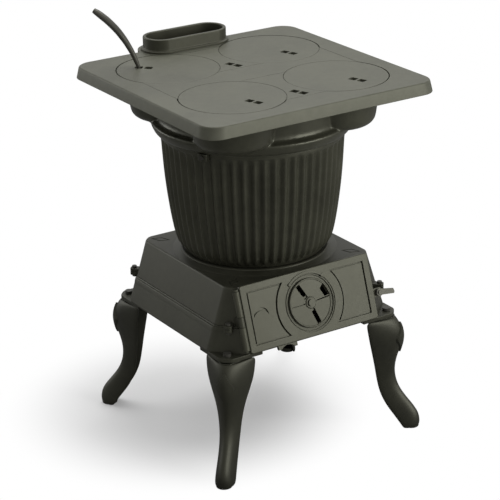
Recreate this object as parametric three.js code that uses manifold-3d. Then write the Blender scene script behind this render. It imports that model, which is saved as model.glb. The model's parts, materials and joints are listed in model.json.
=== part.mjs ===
// Cast-iron potbelly stove with a four-lid cooking top.
// Millimetres, +Z up, floor at z = 0. The front (draft door) faces -Y and +X is the right-hand side.
// The fire pot's axis is x = 0 before the whole stove is shifted so that its plan is centred on the origin.

import * as THREE from 'three';
import { mergeVertices } from 'three/addons/utils/BufferGeometryUtils.js';
import Module from 'manifold-3d';

const wasm = await Module();
wasm.setup();

// ---------- driving dimensions ----------
const gap = 0.3;              // clearance between castings that rest on each other

// cooking top
const topHeight = 740;        // floor to the cooking surface
const plateHalfX = 257;       // half of the flat top, left to right
const plateHalfY = 257;       // half of the flat top, front to back
const plateCorner = 36;       // corner radius of the flat top
const plateSlab = 14;         // thickness of the slab
const rimDepth = 24;          // height of the turned-down rim
const rimWall = 7;
const rimFlare = 4.3;         // how far the rim spreads at its foot
const lidRadius = 101.6;      // eight-inch lids
const lidThickness = 8;
const lidGap = 0.8;           // running gap round lids and centre pieces
const lidSpreadX = 118.5;
const lidSpreadY = 117.3;
const lidLedge = 22;          // width of the ledge that a lid rests on
const slotLength = 16;       // towards the lid's edge
const slotWidth = 15;
const slotDepth = 6.5;
const slotSpacing = 0.625;    // of a slot's length, from the middle of a pair
const slotReach = 50;         // lid centre to the middle of its slot pair
const slotOffset = 0;         // sideways offset of the two slots of a pair
const slotTwist = 0;          // turn of a pair about its own middle, degrees
const slotAngle = -70;        // heading of the slot pairs, degrees
const lifterSlotAngle = 135;  // heading of the pair that holds the lifter
const longHalfX = 207;        // long centre piece: end lines
const longWaist = 38;         // half width of the long centre piece at the middle
const longHalfY = 65;         // and at its ends
const spineHalf = 16;         // web between its upper and lower slabs
const shortHalfX = 56;        // short centre pieces: widest half width
const shortEndY = 190;        // outer end line of the short centre pieces
const pieceSeat = 7;          // how far the short pieces rest on the long one
const centerSlotRear = 64;    // middle of the slot pair, rear short piece
const centerSlotFront = -164; // and front short piece

// flue collar on its tab behind the cooking top
const flueSetback = 7;        // collar centre, in from the plate's back edge
const flueY = plateHalfY - flueSetback;
const flueHalfX = 93;         // outer half length of the oval collar
const flueHalfY = 38;
const flueWall = 7;
const flueHeight = 28;
const flueFlange = 5;         // foot flange, beyond the collar wall
const flueFlangeThickness = 4;
const tabMargin = 11;         // plate tab beyond the collar wall
const tabFillet = 16;

// neck casting under the cooking top
const neckLobeTop = 86;       // lobe radius at the top
const neckLobeFoot = 77;      // lobe radius where its underside starts
const neckWaist = 186;        // radius between the lobes
const plateBore = 144;        // plate's opening between the lobes
const neckWall = 6;
const lobeFootHeight = topHeight - 80;
const flangeTopHeight = topHeight - 86;
const flangeRadius = 198;
const neckFootHeight = topHeight - 110;
const neckFootRadius = 188;
const neckBore = 176;         // bore at the foot, over the fire pot's mouth
const ductHalf = 82;          // flue passage behind the neck: half width
const ductDepth = 38;         // and depth below the cooking top
const ductWall = 6;

// fire pot
const potCrestTop = 182;      // radius over the flutes at the top
const potFootRadius = 141;
const potFootRise = 13;       // base to the foot of the flutes
const potHeadBand = 10;       // plain band over the flutes
const potWall = 6.5;
const fluteCount = 56;
const fluteDepth = 4.5;
const lugAngle = 207;         // first of the two clamp lugs, degrees
const lugReach = potCrestTop + 11;
const lugHalf = 10;
const lugHeight = 14;
const potBoltRadius = 2.6;

// base
const baseTop = 378;          // top face of the base
const baseSeam = 305;         // joint between hood and pan
const baseBottom = 252;
const baseHalfTop = 167;      // half width across the side faces at the top
const baseHalfFoot = 208.5;   // and at the bottom
const panelHalf = 152;        // half length of each leaning side face
const baseWall = 5;
const collarFootRadius = 164;
const collarTopRadius = 147;
const collarRise = 6;
const throatRadius = 112;     // opening between base and fire pot
const panStep = 2.5;          // pan stands proud of the hood
const doorwayHalf = 138;
const doorwaySill = 266;
const doorwayHead = 364;
const panLip = 2;             // how far the ears' tops stand over the pan's foot
const earNose = 283;          // corner ears reach this far along the diagonal
const earThickness = 8;
const earRoot = 88;           // how far the ears reach in under the pan
const seamLugReach = 262;     // seam lugs reach this far along the diagonal
const seamLugHalf = 8;
const seamLugDepth = 7;
const seamBoltAlong = seamLugReach - seamLugHalf;
const seamBoltRadius = 2.6;
const seamHeadRadius = 5;

// grate
const grateRadius = 122;
const grateThickness = 10;
const grateSlots = 7;
const grateSlotWidth = 14;

// draft door
const doorWidth = 302;
const doorHeight = 133;
const doorPlate = 4;
const doorRelief = 2.6;       // height of the raised border and rings
const doorBorder = 14;
const draftX = 0.5;
const panelGroove = 2.4;      // groove between a panel and its border
const draftArc = 76;          // radius of the panels' curved ends
const draftRing = 54;
const trackRadius = 61;       // raised track over the draft
const trackFrom = 52;         // degrees
const trackTo = 132;
const trackRise = 1.6;
const rivetRadius = 4;
const spinnerRadius = 49;
const spinnerThickness = 3;
const spinnerRim = 1.4;
const hubRadius = 12;
const windowInner = 17;
const windowOuter = 44;
const windowSpan = 42;        // degrees
const spinnerTurn = 33;       // spinner's offset from fully open, degrees
const hingeOffset = 8;        // pivot beyond the door's left edge
const pinRadius = 3.2;
const knuckleRadius = 6.5;
const knuckleFoot = -12;      // the hood's knuckle, from the door's middle
const knuckleHead = 8;
const barrelEnd = 58;         // ends of the door's two barrels, from the door's middle
const latchX = doorWidth / 2 + 11; // latch pivot on its lug beside the door
const latchY = -17;
const latchReach = 34;        // pivot to the end of the handle
const latchPinRadius = 2.6;
const latchThickness = 5;

// legs
const legTop = 244;
const legWall = 6;
const legCap = 9;             // thickness of the leg's top plate
const legRoot = 236;          // inner edge of the leg's top, along the diagonal
const footReach = 341;        // outermost point of the foot, along the diagonal
const legWidth = 98;          // width across the knee
const diamondHalfWidth = 19;
const diamondHalfHeight = 33;
const diamondProud = 3.5;
const boltAlong = earNose - 15; // leg bolts along the diagonal
const boltRadius = 3.6;
const boltHeadRadius = 8;
const boltHeadHeight = 6;

// lid lifter
const lifterReach = 87;       // tip to the end of the handle, level
const lifterRise = 112.5;     // and upright
const lifterHalf = 9.2;       // half width of the handle

// ---------- helpers ----------
const rad = THREE.MathUtils.degToRad;

function toManifold(geometry) {
  const g = geometry.clone();
  g.deleteAttribute('normal');
  g.deleteAttribute('uv');
  const merged = mergeVertices(g, 1e-4);
  const index = merged.index.array;
  const mesh = new wasm.Mesh({
    numProp: 3,
    vertProperties: new Float32Array(merged.attributes.position.array),
    triVerts: new Uint32Array(index)
  });
  mesh.merge();
  return new wasm.Manifold(mesh);
}

function toGeometry(solid) {
  const mesh = solid.getMesh();
  const g = new THREE.BufferGeometry();
  const position = new Float32Array(mesh.numVert * 3);
  for (let i = 0; i < mesh.numVert; i += 1) {
    for (let k = 0; k < 3; k += 1) position[i * 3 + k] = mesh.vertProperties[i * mesh.numProp + k];
  }
  g.setAttribute('position', new THREE.BufferAttribute(position, 3));
  g.setIndex(new THREE.BufferAttribute(new Uint32Array(mesh.triVerts), 1));
  g.computeVertexNormals();
  return g;
}

const join = (...parts) => parts.reduce((a, b) => a.add(b));
const cut = (body, ...tools) => tools.reduce((a, b) => a.subtract(b), body);

function shapeFrom(points) {
  return new THREE.Shape(points.map(([x, y]) => new THREE.Vector2(x, y)));
}

// vertical prism of an outline between two heights
function prism(shape, z0, z1, segments = 8) {
  const g = new THREE.ExtrudeGeometry(shape, { depth: z1 - z0, bevelEnabled: false, curveSegments: segments });
  g.translate(0, 0, z0);
  return toManifold(g);
}

function cylinder(radius, z0, z1, x = 0, y = 0, segments = 48) {
  const g = new THREE.CylinderGeometry(radius, radius, z1 - z0, segments);
  g.rotateX(Math.PI / 2);
  g.translate(x, y, (z0 + z1) / 2);
  return toManifold(g);
}

function cylinderY(radius, y0, y1, x, z, segments = 14) {
  const g = new THREE.CylinderGeometry(radius, radius, y1 - y0, segments);
  g.translate(x, (y0 + y1) / 2, z);
  return toManifold(g);
}

function box(x0, x1, y0, y1, z0, z1) {
  const g = new THREE.BoxGeometry(x1 - x0, y1 - y0, z1 - z0);
  g.translate((x0 + x1) / 2, (y0 + y1) / 2, (z0 + z1) / 2);
  return toManifold(g);
}

function lathe(profile, segments = 48) {
  const g = new THREE.LatheGeometry(profile.map(([r, z]) => new THREE.Vector2(r, z)), segments);
  g.rotateX(Math.PI / 2);
  return toManifold(g);
}

// rings of equal length joined into a skin and capped at both ends
function loft(rings) {
  const count = rings[0].length;
  const position = rings.flat(2);
  const index = [];
  for (let k = 0; k + 1 < rings.length; k += 1) {
    for (let i = 0; i < count; i += 1) {
      const a = k * count + i;
      const b = k * count + (i + 1) % count;
      index.push(a, b, b + count, a, b + count, a + count);
    }
  }
  const last = (rings.length - 1) * count;
  const flat = (ring) => ring.map((p) => new THREE.Vector2(p[0], p[1]));
  for (const [i, j, k] of THREE.ShapeUtils.triangulateShape(flat(rings[0]), [])) index.push(k, j, i);
  for (const [i, j, k] of THREE.ShapeUtils.triangulateShape(flat(rings[rings.length - 1]), [])) {
    index.push(last + i, last + j, last + k);
  }
  const g = new THREE.BufferGeometry();
  g.setAttribute('position', new THREE.BufferAttribute(new Float32Array(position), 3));
  g.setIndex(index);
  return toManifold(g);
}

function roundedRect(halfX, halfY, radius) {
  const s = new THREE.Shape();
  s.moveTo(halfX, -halfY + radius);
  s.lineTo(halfX, halfY - radius);
  s.absarc(halfX - radius, halfY - radius, radius, 0, Math.PI / 2);
  s.absarc(-halfX + radius, halfY - radius, radius, Math.PI / 2, Math.PI);
  s.absarc(-halfX + radius, -halfY + radius, radius, Math.PI, 1.5 * Math.PI);
  s.absarc(halfX - radius, -halfY + radius, radius, 1.5 * Math.PI, 2 * Math.PI);
  return s;
}

function stadium(halfX, halfY, y) {
  const s = new THREE.Shape();
  const straight = halfX - halfY;
  s.absarc(straight, y, halfY, -Math.PI / 2, Math.PI / 2);
  s.absarc(-straight, y, halfY, Math.PI / 2, 1.5 * Math.PI);
  return s;
}

const place = (solid, matrix) => solid.transform(matrix.elements);

// ---------- materials ----------
const ironTop = new THREE.MeshStandardMaterial({ color: 0x5c5b54, roughness: 0.55, metalness: 0.6 });
const ironCasting = new THREE.MeshStandardMaterial({ color: 0x3d3d37, roughness: 0.6, metalness: 0.6 });
const ironDoor = new THREE.MeshStandardMaterial({ color: 0x4c4c45, roughness: 0.55, metalness: 0.6 });
const steelBolt = new THREE.MeshStandardMaterial({ color: 0x2c2b28, roughness: 0.5, metalness: 0.8 });

const stove = new THREE.Group();
function addPart(name, solid, material) {
  const mesh = new THREE.Mesh(toGeometry(solid), material);
  mesh.name = name;
  stove.add(mesh);
}

// ---------- cooking top ----------
const slabFoot = topHeight - plateSlab;
const seatHeight = topHeight - lidThickness - gap;
const lids = [
  { name: 'lid_front_left', x: -lidSpreadX, y: -lidSpreadY, heading: slotAngle },
  { name: 'lid_front_right', x: lidSpreadX, y: -lidSpreadY, heading: slotAngle },
  { name: 'lid_rear_left', x: -lidSpreadX, y: lidSpreadY, heading: lifterSlotAngle },
  { name: 'lid_rear_right', x: lidSpreadX, y: lidSpreadY, heading: slotAngle }
];

// plan radius of the four-lobed neck outline in a given direction
function lobedRadius(angle, lobe, waist) {
  const reach = Math.hypot(lidSpreadX, lidSpreadY);
  const corner = Math.atan2(lidSpreadY, lidSpreadX);
  const quarter = Math.abs(Math.atan2(Math.abs(Math.sin(angle)), Math.abs(Math.cos(angle))) - corner);
  const side = reach * Math.sin(quarter);
  if (side >= lobe) return waist;
  return Math.max(waist, reach * Math.cos(quarter) + Math.sqrt(lobe * lobe - side * side));
}

const neckSegments = 60;
function polarRing(radiusAt, z, segments = neckSegments) {
  return Array.from({ length: segments }, (_, i) => {
    const a = (i / segments) * 2 * Math.PI;
    const r = radiusAt(a);
    return [r * Math.cos(a), r * Math.sin(a), z];
  });
}

// the two staggered slots of a pair, at a distance from a centre and under a heading
function slotTools(x, y, heading, reach) {
  return [-1, 1].map((side) => {
    const g = new THREE.BoxGeometry(slotLength, slotWidth, slotDepth * 2);
    g.translate(side * slotLength * slotSpacing, side * slotOffset, topHeight);
    g.rotateZ(rad(slotTwist));
    g.translate(reach, 0, 0);
    g.rotateZ(rad(heading));
    g.translate(x, y, 0);
    return toManifold(g);
  });
}

const pocketTop = topHeight + 5;
const pocketCutters = lids.map((lid) => cylinder(lidRadius + lidGap, seatHeight, pocketTop, lid.x, lid.y, 48));
const longPocket = box(
  -longHalfX - lidGap, longHalfX + lidGap, -longHalfY - lidGap, longHalfY + lidGap, seatHeight, pocketTop
);
const shortPocket = box(-shortHalfX, shortHalfX, -shortEndY - lidGap, shortEndY + lidGap, seatHeight, pocketTop);

function plateRing(inset, drop) {
  const flare = rimFlare * drop / rimDepth;
  const shape = roundedRect(plateHalfX - inset + flare, plateHalfY - inset + flare, plateCorner - inset + flare);
  return shape.getPoints(5).slice(0, -1).map((p) => [p.x, p.y, topHeight - drop]);
}

function makeTopPlate() {
  const outer = loft([plateRing(0, rimDepth), plateRing(0, 0)]);
  const hollow = loft([plateRing(rimWall, rimDepth + 5), plateRing(rimWall, plateSlab)]);
  const tab = makeTab();
  const through = loft([
    polarRing((a) => lobedRadius(a, neckLobeTop - neckWall, plateBore), slabFoot - 5),
    polarRing((a) => lobedRadius(a, neckLobeTop - neckWall, plateBore), topHeight + 5)
  ]);
  const flueHole = prism(stadium(flueHalfX - flueWall, flueHalfY - flueWall, flueY), slabFoot - 20, topHeight + 5);
  const ductRelief = ductBox(gap, plateHalfY, slabFoot - rimDepth, slabFoot);
  return cut(join(cut(outer, hollow), tab), through, ...pocketCutters, longPocket, shortPocket, flueHole, ductRelief);
}

// outline of the flue passage, grown by a margin, from a line at the front to the back of the flue
function ductBox(margin, front, z0, z1) {
  return box(-ductHalf - margin, ductHalf + margin, front - rimDepth, flueY + flueHalfY + margin, z0, z1);
}

// tongue that carries the flue collar, filleted into the back edge
function makeTab() {
  const half = flueHalfX + tabMargin;
  const back = flueY + flueHalfY + tabMargin;
  const end = half + tabFillet;
  const corner = flueHalfY + tabMargin - 12;
  const s = new THREE.Shape();
  const front = plateHalfY - 14;
  s.moveTo(-end, front);
  s.lineTo(end, front);
  s.lineTo(end, plateHalfY);
  s.absarc(end, plateHalfY + tabFillet, tabFillet, 1.5 * Math.PI, Math.PI, true);
  s.absarc(half - corner, back - corner, corner, 0, Math.PI / 2);
  s.absarc(-half + corner, back - corner, corner, Math.PI / 2, Math.PI);
  s.absarc(-end, plateHalfY + tabFillet, tabFillet, 0, -Math.PI / 2, true);
  return prism(s, slabFoot, topHeight, 8);
}

addPart('top_plate', makeTopPlate(), ironTop);

for (const lid of lids) {
  const disc = cylinder(lidRadius, topHeight - lidThickness, topHeight, lid.x, lid.y, 64);
  addPart(lid.name, cut(disc, ...slotTools(lid.x, lid.y, lid.heading, slotReach)), ironTop);
}

const besideLids = (reach, z0) => lids.map((lid) => cylinder(reach, z0, topHeight + 5, lid.x, lid.y, 48));
const pieceFoot = topHeight - lidThickness;

function makeLongCenter() {
  const lidCuts = besideLids(lidRadius + lidGap, seatHeight - 1);
  const upper = box(-longHalfX, longHalfX, -longHalfY, longHalfY, pieceFoot, topHeight);
  const beyond = [box(-shortHalfX, shortHalfX, longWaist, longHalfY + 5, pieceFoot - 1, topHeight + 5),
    box(-shortHalfX, shortHalfX, -longHalfY - 5, -longWaist, pieceFoot - 1, topHeight + 5)];
  const bearing = longWaist + pieceSeat;
  const reach = plateBore - pieceSeat;
  const lower = box(-reach, reach, -bearing, bearing, slabFoot, seatHeight);
  const spine = box(-reach, reach, -spineHalf, spineHalf, seatHeight - 1, topHeight - 1);
  const ledges = besideLids(lidRadius - lidLedge, slabFoot - 5);
  return join(cut(upper, ...lidCuts, ...beyond), cut(lower, ...ledges), cut(spine, ...lidCuts));
}

addPart('long_center_piece', makeLongCenter(), ironTop);

function makeShortCenter(side, slotY) {
  const near = side * (longWaist + lidGap);
  const far = side * shortEndY;
  const slab = box(
    -shortHalfX + lidGap, shortHalfX - lidGap, Math.min(near, far), Math.max(near, far), pieceFoot, topHeight
  );
  return cut(slab, ...besideLids(lidRadius + lidGap, pieceFoot - 5), ...slotTools(0, slotY, slotAngle, 0));
}

addPart('short_center_front', makeShortCenter(-1, centerSlotFront), ironTop);
addPart('short_center_rear', makeShortCenter(1, centerSlotRear), ironTop);

// ---------- flue collar ----------
function makeFlueCollar() {
  const wall = prism(stadium(flueHalfX, flueHalfY, flueY), topHeight + gap, topHeight + flueHeight);
  const foot = prism(
    stadium(flueHalfX + flueFlange, flueHalfY + flueFlange, flueY), topHeight + gap, topHeight + gap + flueFlangeThickness
  );
  const spigot = prism(
    stadium(flueHalfX - flueWall - gap, flueHalfY - flueWall - gap, flueY), slabFoot, topHeight + 1
  );
  const bore = prism(stadium(flueHalfX - 2 * flueWall, flueHalfY - 2 * flueWall, flueY), slabFoot - 5, topHeight + 50);
  const mouth = prism(
    stadium(flueHalfX - flueWall, flueHalfY - flueWall, flueY), topHeight + 6, topHeight + 50
  );
  return cut(join(wall, foot, spigot), bore, mouth);
}

addPart('flue_collar', makeFlueCollar(), ironCasting);

// ---------- neck casting ----------
const neckTop = slabFoot - gap;
const neckFlangeBore = flangeRadius - neckWall - 3;
const neckLevels = [
  // height, lobe radius, waist, bore's lobe radius, bore's waist
  [neckFootHeight + gap, 0, neckFootRadius, 0, neckBore],
  [neckFootHeight + 7, 0, flangeRadius - 3, 0, neckFlangeBore - 4],
  [neckFootHeight + 14, 50, flangeRadius, 30, neckFlangeBore],
  [flangeTopHeight - 4, 66, flangeRadius, 52, neckFlangeBore],
  [flangeTopHeight, 71, flangeRadius - 5, 60, neckFlangeBore - 5],
  [flangeTopHeight + 6, neckLobeFoot - 1.5, neckWaist, 67, neckWaist - neckWall],
  [lobeFootHeight + 6, neckLobeFoot + 1, neckWaist, neckLobeFoot - neckWall, neckWaist - neckWall],
  [neckTop, neckLobeTop, neckWaist, neckLobeTop - neckWall, neckWaist - neckWall]
];

function makeNeck() {
  const outer = loft(neckLevels.map(([z, lobe, waist]) => polarRing((a) => lobedRadius(a, lobe, waist), z)));
  const bores = neckLevels.map(([z, , , lobe, waist]) => polarRing((a) => lobedRadius(a, lobe, waist), z));
  const first = bores[0].map(([x, y, z]) => [x, y, z - 5]);
  const last = bores[bores.length - 1].map(([x, y, z]) => [x, y, z + 5]);
  const duct = ductBox(0, neckWaist, neckTop - ductDepth, neckTop);
  const passage = ductBox(-ductWall, neckWaist, neckTop - ductDepth + ductWall, neckTop + 5);
  return cut(join(outer, duct), loft([first, ...bores, last]), passage);
}

addPart('pot_top', makeNeck(), ironCasting);

// ---------- fire pot ----------
const potFluteFoot = baseTop + potFootRise;
const potFluteTop = neckFootHeight - potHeadBand;
const potCurve = [
  // share of the flutes' height, share of the taper left, share of the flute depth
  [0.033, 0.732, 0.8], [0.1, 0.561, 1], [0.258, 0.402, 1], [0.617, 0.159, 1], [0.98, 0, 1], [1, 0, 0.1]
];
const potLevels = [
  [baseTop + collarRise + gap, potFootRadius - 1, 0],
  [potFluteFoot - 2, potFootRadius, 0],
  ...potCurve.map(([height, taper, share]) => [
    potFluteFoot + (potFluteTop - potFluteFoot) * height,
    potCrestTop - (potCrestTop - potFootRadius) * taper,
    share
  ]),
  [neckFootHeight, potCrestTop, 0]
];

function makeFirePot() {
  const shareAt = [1, 0, 0];            // groove, then the two edges of the flute's crest
  const perFlute = shareAt.length;
  const segments = fluteCount * perFlute;
  const skin = loft(potLevels.map(([z, r, share]) => Array.from({ length: segments }, (_, i) => {
    const a = (i / segments) * 2 * Math.PI;
    const radius = r - fluteDepth * share * shareAt[i % perFlute];
    return [radius * Math.cos(a), radius * Math.sin(a), z];
  })));
  const inner = potLevels.map(([z, r]) => [r - potWall - fluteDepth, z]);
  const profile = [[0, inner[0][1] - 5], [inner[0][0], inner[0][1] - 5], ...inner.slice(1)];
  profile.push([inner[inner.length - 1][0], neckFootHeight + 5], [0, neckFootHeight + 5]);
  return cut(skin, lathe(profile, 36));
}

addPart('fire_pot', join(makeFirePot(), ...lugs()), ironCasting);

function lugs() {
  return [0, 180].map((turn) => {
    const g = new THREE.BoxGeometry(lugReach - potCrestTop + 6, 2 * lugHalf, lugHeight);
    g.translate((lugReach + potCrestTop - 6) / 2, 0, neckFootHeight - lugHeight / 2);
    g.rotateZ(rad(lugAngle + turn));
    return cut(toManifold(g), potBoltHole(turn));
  });
}

function potBoltHole(turn) {
  return radialCylinder(potBoltRadius + gap, potCrestTop + 1, lugReach + 5).rotate([0, 0, lugAngle + turn]);
}

// cylinder lying along +X at the height of the clamp bolts
function radialCylinder(radius, x0, x1) {
  const g = new THREE.CylinderGeometry(radius, radius, x1 - x0, 12);
  g.rotateZ(Math.PI / 2);
  g.translate((x0 + x1) / 2, 0, neckFootHeight - lugHeight / 2);
  return toManifold(g);
}

const potBolt = join(
  radialCylinder(potBoltRadius, potCrestTop + 1 + gap, lugReach + 1),
  radialCylinder(potBoltRadius + 2.2, lugReach + gap, lugReach + gap + 3.5)
);
for (const [name, turn] of [['left', 0], ['right', 180]]) {
  addPart(`pot_bolt_${name}`, potBolt.rotate([0, 0, lugAngle + turn]), steelBolt);
}

// ---------- grate ----------
function makeGrate() {
  const z0 = baseTop + collarRise + gap;
  const disc = cylinder(grateRadius, z0, z0 + grateThickness, 0, 0, 36);
  const pitch = 2 * grateRadius / (grateSlots + 1);
  const tools = [];
  for (let k = 0; k < grateSlots; k += 1) {
    const x = (k - (grateSlots - 1) / 2) * pitch;
    const half = Math.sqrt(Math.max(0, (grateRadius - 14) ** 2 - x * x)) - 4;
    tools.push(box(x - grateSlotWidth / 2, x + grateSlotWidth / 2, -half, -4, z0 - 5, z0 + 30));
    tools.push(box(x - grateSlotWidth / 2, x + grateSlotWidth / 2, 4, half, z0 - 5, z0 + 30));
  }
  return cut(disc, ...tools);
}

addPart('grate', makeGrate(), ironCasting);

// ---------- base ----------
const halfAt = (z) => baseHalfFoot + (baseHalfTop - baseHalfFoot) * (z - baseBottom) / (baseTop - baseBottom);

// leaning four-panel box with cut corners, as one ring at height z
function baseRing(z, grow = 0, side = 0) {
  const h = halfAt(z) + grow;
  const p = Math.min(panelHalf + side, h - 1);
  return [[h, -p], [h, p], [p, h], [-p, h], [-h, p], [-h, -p], [-p, -h], [p, -h]].map(([x, y]) => [x, y, z]);
}

const lean = Math.atan2(baseHalfFoot - baseHalfTop, baseTop - baseBottom);
const doorMiddle = (baseTop + baseBottom) / 2 + 3;
const facePlane = halfAt(doorMiddle) + (panStep + gap) / Math.cos(lean);

// door frame: local X along the door, local Y up its slope, local Z out of its face
const doorFrame = new THREE.Matrix4().makeBasis(
  new THREE.Vector3(1, 0, 0),
  new THREE.Vector3(0, Math.sin(lean), Math.cos(lean)),
  new THREE.Vector3(0, -Math.cos(lean), Math.sin(lean))
).setPosition(0, -facePlane, doorMiddle);
const onDoor = (solid) => place(solid, doorFrame);

const hingeX = -doorWidth / 2 - hingeOffset;
const hingeZ = doorPlate + 1;       // pivot line stands proud of the door's face
const doorway = (z0, z1) => box(-doorwayHalf, doorwayHalf, -baseHalfFoot - 50, -baseHalfTop / 2, z0, z1);

// lugs that hold hood and pan together, one at each cut corner
const seamLugRoot = (panelHalf + halfAt(baseSeam)) / Math.SQRT2 - 3 * baseWall;
function seamLug(turn, z0, z1) {
  const g = new THREE.BoxGeometry(seamLugReach - seamLugRoot, 2 * seamLugHalf, z1 - z0);
  g.translate((seamLugReach + seamLugRoot) / 2, 0, (z0 + z1) / 2);
  g.rotateZ(rad(turn));
  return toManifold(g);
}

function seamHole(turn) {
  return cylinder(seamBoltRadius + gap, baseSeam - 30, baseSeam + 30, seamBoltAlong, 0, 8).rotate([0, 0, turn]);
}

const turns = [45, 135, 225, 315];

// the hinge pin's hole along the door's left edge
const pinHole = (radius) => cylinderY(radius, -doorHeight, doorHeight, hingeX, hingeZ, 14);

// fixed half of the hinge: one knuckle on an ear that reaches back into the hood
function makeKnuckle() {
  const ear = box(hingeX - knuckleRadius + 1.5, hingeX + 1.5, knuckleFoot, knuckleHead, -16, hingeZ);
  return cut(join(cylinderY(knuckleRadius, knuckleFoot, knuckleHead, hingeX, hingeZ), ear), pinHole(pinRadius + gap / 2));
}

function makeHood() {
  const shell = loft([baseRing(baseSeam + gap), baseRing(baseTop)]);
  const hollow = loft([
    baseRing(baseSeam - 5, -baseWall - 1, -3),
    baseRing(baseTop - baseWall, -baseWall - 1, -3)
  ]);
  const collar = lathe([
    [0, baseTop - 1], [collarFootRadius, baseTop - 1], [collarFootRadius, baseTop + 1],
    [collarTopRadius, baseTop + collarRise], [0, baseTop + collarRise]
  ], 48);
  const throat = cylinder(throatRadius, baseTop - 50, baseTop + 50, 0, 0, 36);
  const lugsHere = turns.map((turn) => seamLug(turn, baseSeam + gap, baseSeam + gap + seamLugDepth));
  const body = cut(join(shell, collar, ...lugsHere), hollow, throat, doorway(baseSeam - 10, doorwayHead));
  const belowSeam = box(-baseHalfFoot, baseHalfFoot, -baseHalfFoot, baseHalfFoot, 0, baseSeam + gap);
  const knuckle = cut(onDoor(makeKnuckle()), hollow, belowSeam);
  return cut(join(body, knuckle), ...turns.map(seamHole));
}

addPart('base_hood', makeHood(), ironCasting);

function corners(make) {
  return [[1, 1], [-1, 1], [-1, -1], [1, -1]].map(([sx, sy]) => make(sx, sy));
}

function ear(sx, sy) {
  const h = baseHalfFoot - 0.5;
  const root = h - earRoot;
  const nose = earNose * Math.SQRT2 - h;
  const points = [[root, root], [h, root], [h, nose], [nose, h], [root, h]].map(([x, y]) => [x * sx, y * sy]);
  if (sx * sy < 0) points.reverse();
  return prism(shapeFrom(points), baseBottom + panLip - earThickness, baseBottom + panLip);
}

const boltSpot = boltAlong / Math.SQRT2;

function makePan() {
  const shell = loft([
    baseRing(baseBottom, panStep), baseRing(baseSeam - 9, panStep), baseRing(baseSeam - 2, 0.4), baseRing(baseSeam)
  ]);
  const hollow = loft([
    baseRing(baseBottom + baseWall, -baseWall - 1, -3),
    baseRing(baseSeam + 5, -baseWall - 1, -3)
  ]);
  const holes = corners((sx, sy) => cylinder(
    boltRadius + gap, baseBottom - 50, baseBottom + 50, boltSpot * sx, boltSpot * sy, 16
  ));
  const lugsHere = turns.map((turn) => seamLug(turn, baseSeam - seamLugDepth, baseSeam));
  const body = cut(join(shell, ...lugsHere), hollow, doorway(doorwaySill, baseTop));
  return cut(join(body, ...corners(ear)), ...holes, ...turns.map(seamHole));
}

addPart('base_pan', makePan(), ironCasting);

// ---------- legs ----------
const legCurve = [
  // shares of the leg's height, of its outward reach at the ridge and at the inner edge, of its width; roundness
  [0, 0.962, 0.686, 0.367, 1],
  [0.033, 1, 0.648, 0.398, 1],
  [0.123, 1, 0.495, 0.418, 0.9],
  [0.213, 0.848, 0.333, 0.418, 0.75],
  [0.328, 0.61, 0.21, 0.429, 0.6],
  [0.443, 0.514, 0.162, 0.459, 0.5],
  [0.549, 0.505, 0.133, 0.52, 0.4],
  [0.648, 0.562, 0.105, 0.622, 0.3],
  [0.746, 0.648, 0.076, 0.765, 0.25],
  [0.844, 0.671, 0.048, 0.888, 0.2],
  [0.934, 0.6, 0.019, 0.969, 0.15],
  [1, 0.514, 0, 1, 0.1]
];
const legAlong = (share) => legRoot + (footReach - legRoot) * share;
const legLevels = legCurve.map(([height, ridge, inner, width, round]) => [
  legTop * height, legAlong(ridge), legAlong(inner), legWidth * width, round
]);
const kneeCurve = legCurve[9];
const legShares = [0, 0.45, 0.82, 1];

function legOutline([z, ridge, inner, width, round], wall) {
  const depth = ridge - inner;
  const points = legShares.map((f) => {
    const spread = (1 - round) * (1 - f) + round * Math.sqrt(1 - f * f);
    return [inner + depth * f, width / 2 * spread];
  });
  if (wall === 0) return { points, z };
  const shrink = (width / 2 - wall) / (width / 2);
  return { points: points.map(([s, t]) => [inner + (s - inner) * (1 - 1.6 * wall / depth), t * shrink]), z };
}

function legRing(level, wall, innerShift) {
  const { points, z } = legOutline(level, wall);
  const half = points.map(([s, t], i) => [i === 0 ? s + innerShift : s, t]);
  const mirrored = half.slice(0, -1).reverse().map(([s, t]) => [s, -t]);
  // the diagonal runs along local +X
  return [...half, ...mirrored].reverse().map(([s, t]) => [s, t, z]);
}

function makeLeg() {
  const outer = loft(legLevels.map((level) => legRing(level, 0, 0)));
  const cavityLevels = legLevels.map((level) => legRing(level, legWall, -60));
  const first = cavityLevels[0].map(([s, t, z]) => [s, t, z - 5]);
  const capped = cavityLevels.slice(0, -1);
  const last = capped[capped.length - 1].map(([s, t]) => [s, t, legTop - legCap]);
  const cavity = loft([first, ...capped, last]);
  const ornament = diamond(legAlong(kneeCurve[1]), legTop * kneeCurve[0]);
  const hole = cylinder(boltRadius + gap, legTop - 50, legTop + 50, boltAlong, 0, 16);
  return cut(join(outer, ornament), cavity, hole);
}

// raised four-sided diamond that wraps over the knee's ridge
function diamond(ridge, z) {
  const side = ridge - diamondHalfWidth * 0.68;
  const back = ridge - diamondHalfWidth;
  const corners3 = [
    [ridge + diamondProud, 0, z], [ridge - 6, 0, z + diamondHalfHeight], [side, -diamondHalfWidth, z],
    [ridge - 5, 0, z - diamondHalfHeight], [side, diamondHalfWidth, z], [back, 0, z]
  ];
  const index = [0, 1, 2, 0, 2, 3, 0, 3, 4, 0, 4, 1, 5, 2, 1, 5, 3, 2, 5, 4, 3, 5, 1, 4];
  const g = new THREE.BufferGeometry();
  g.setAttribute('position', new THREE.BufferAttribute(new Float32Array(corners3.flat()), 3));
  g.setIndex(index);
  return toManifold(g);
}

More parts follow.
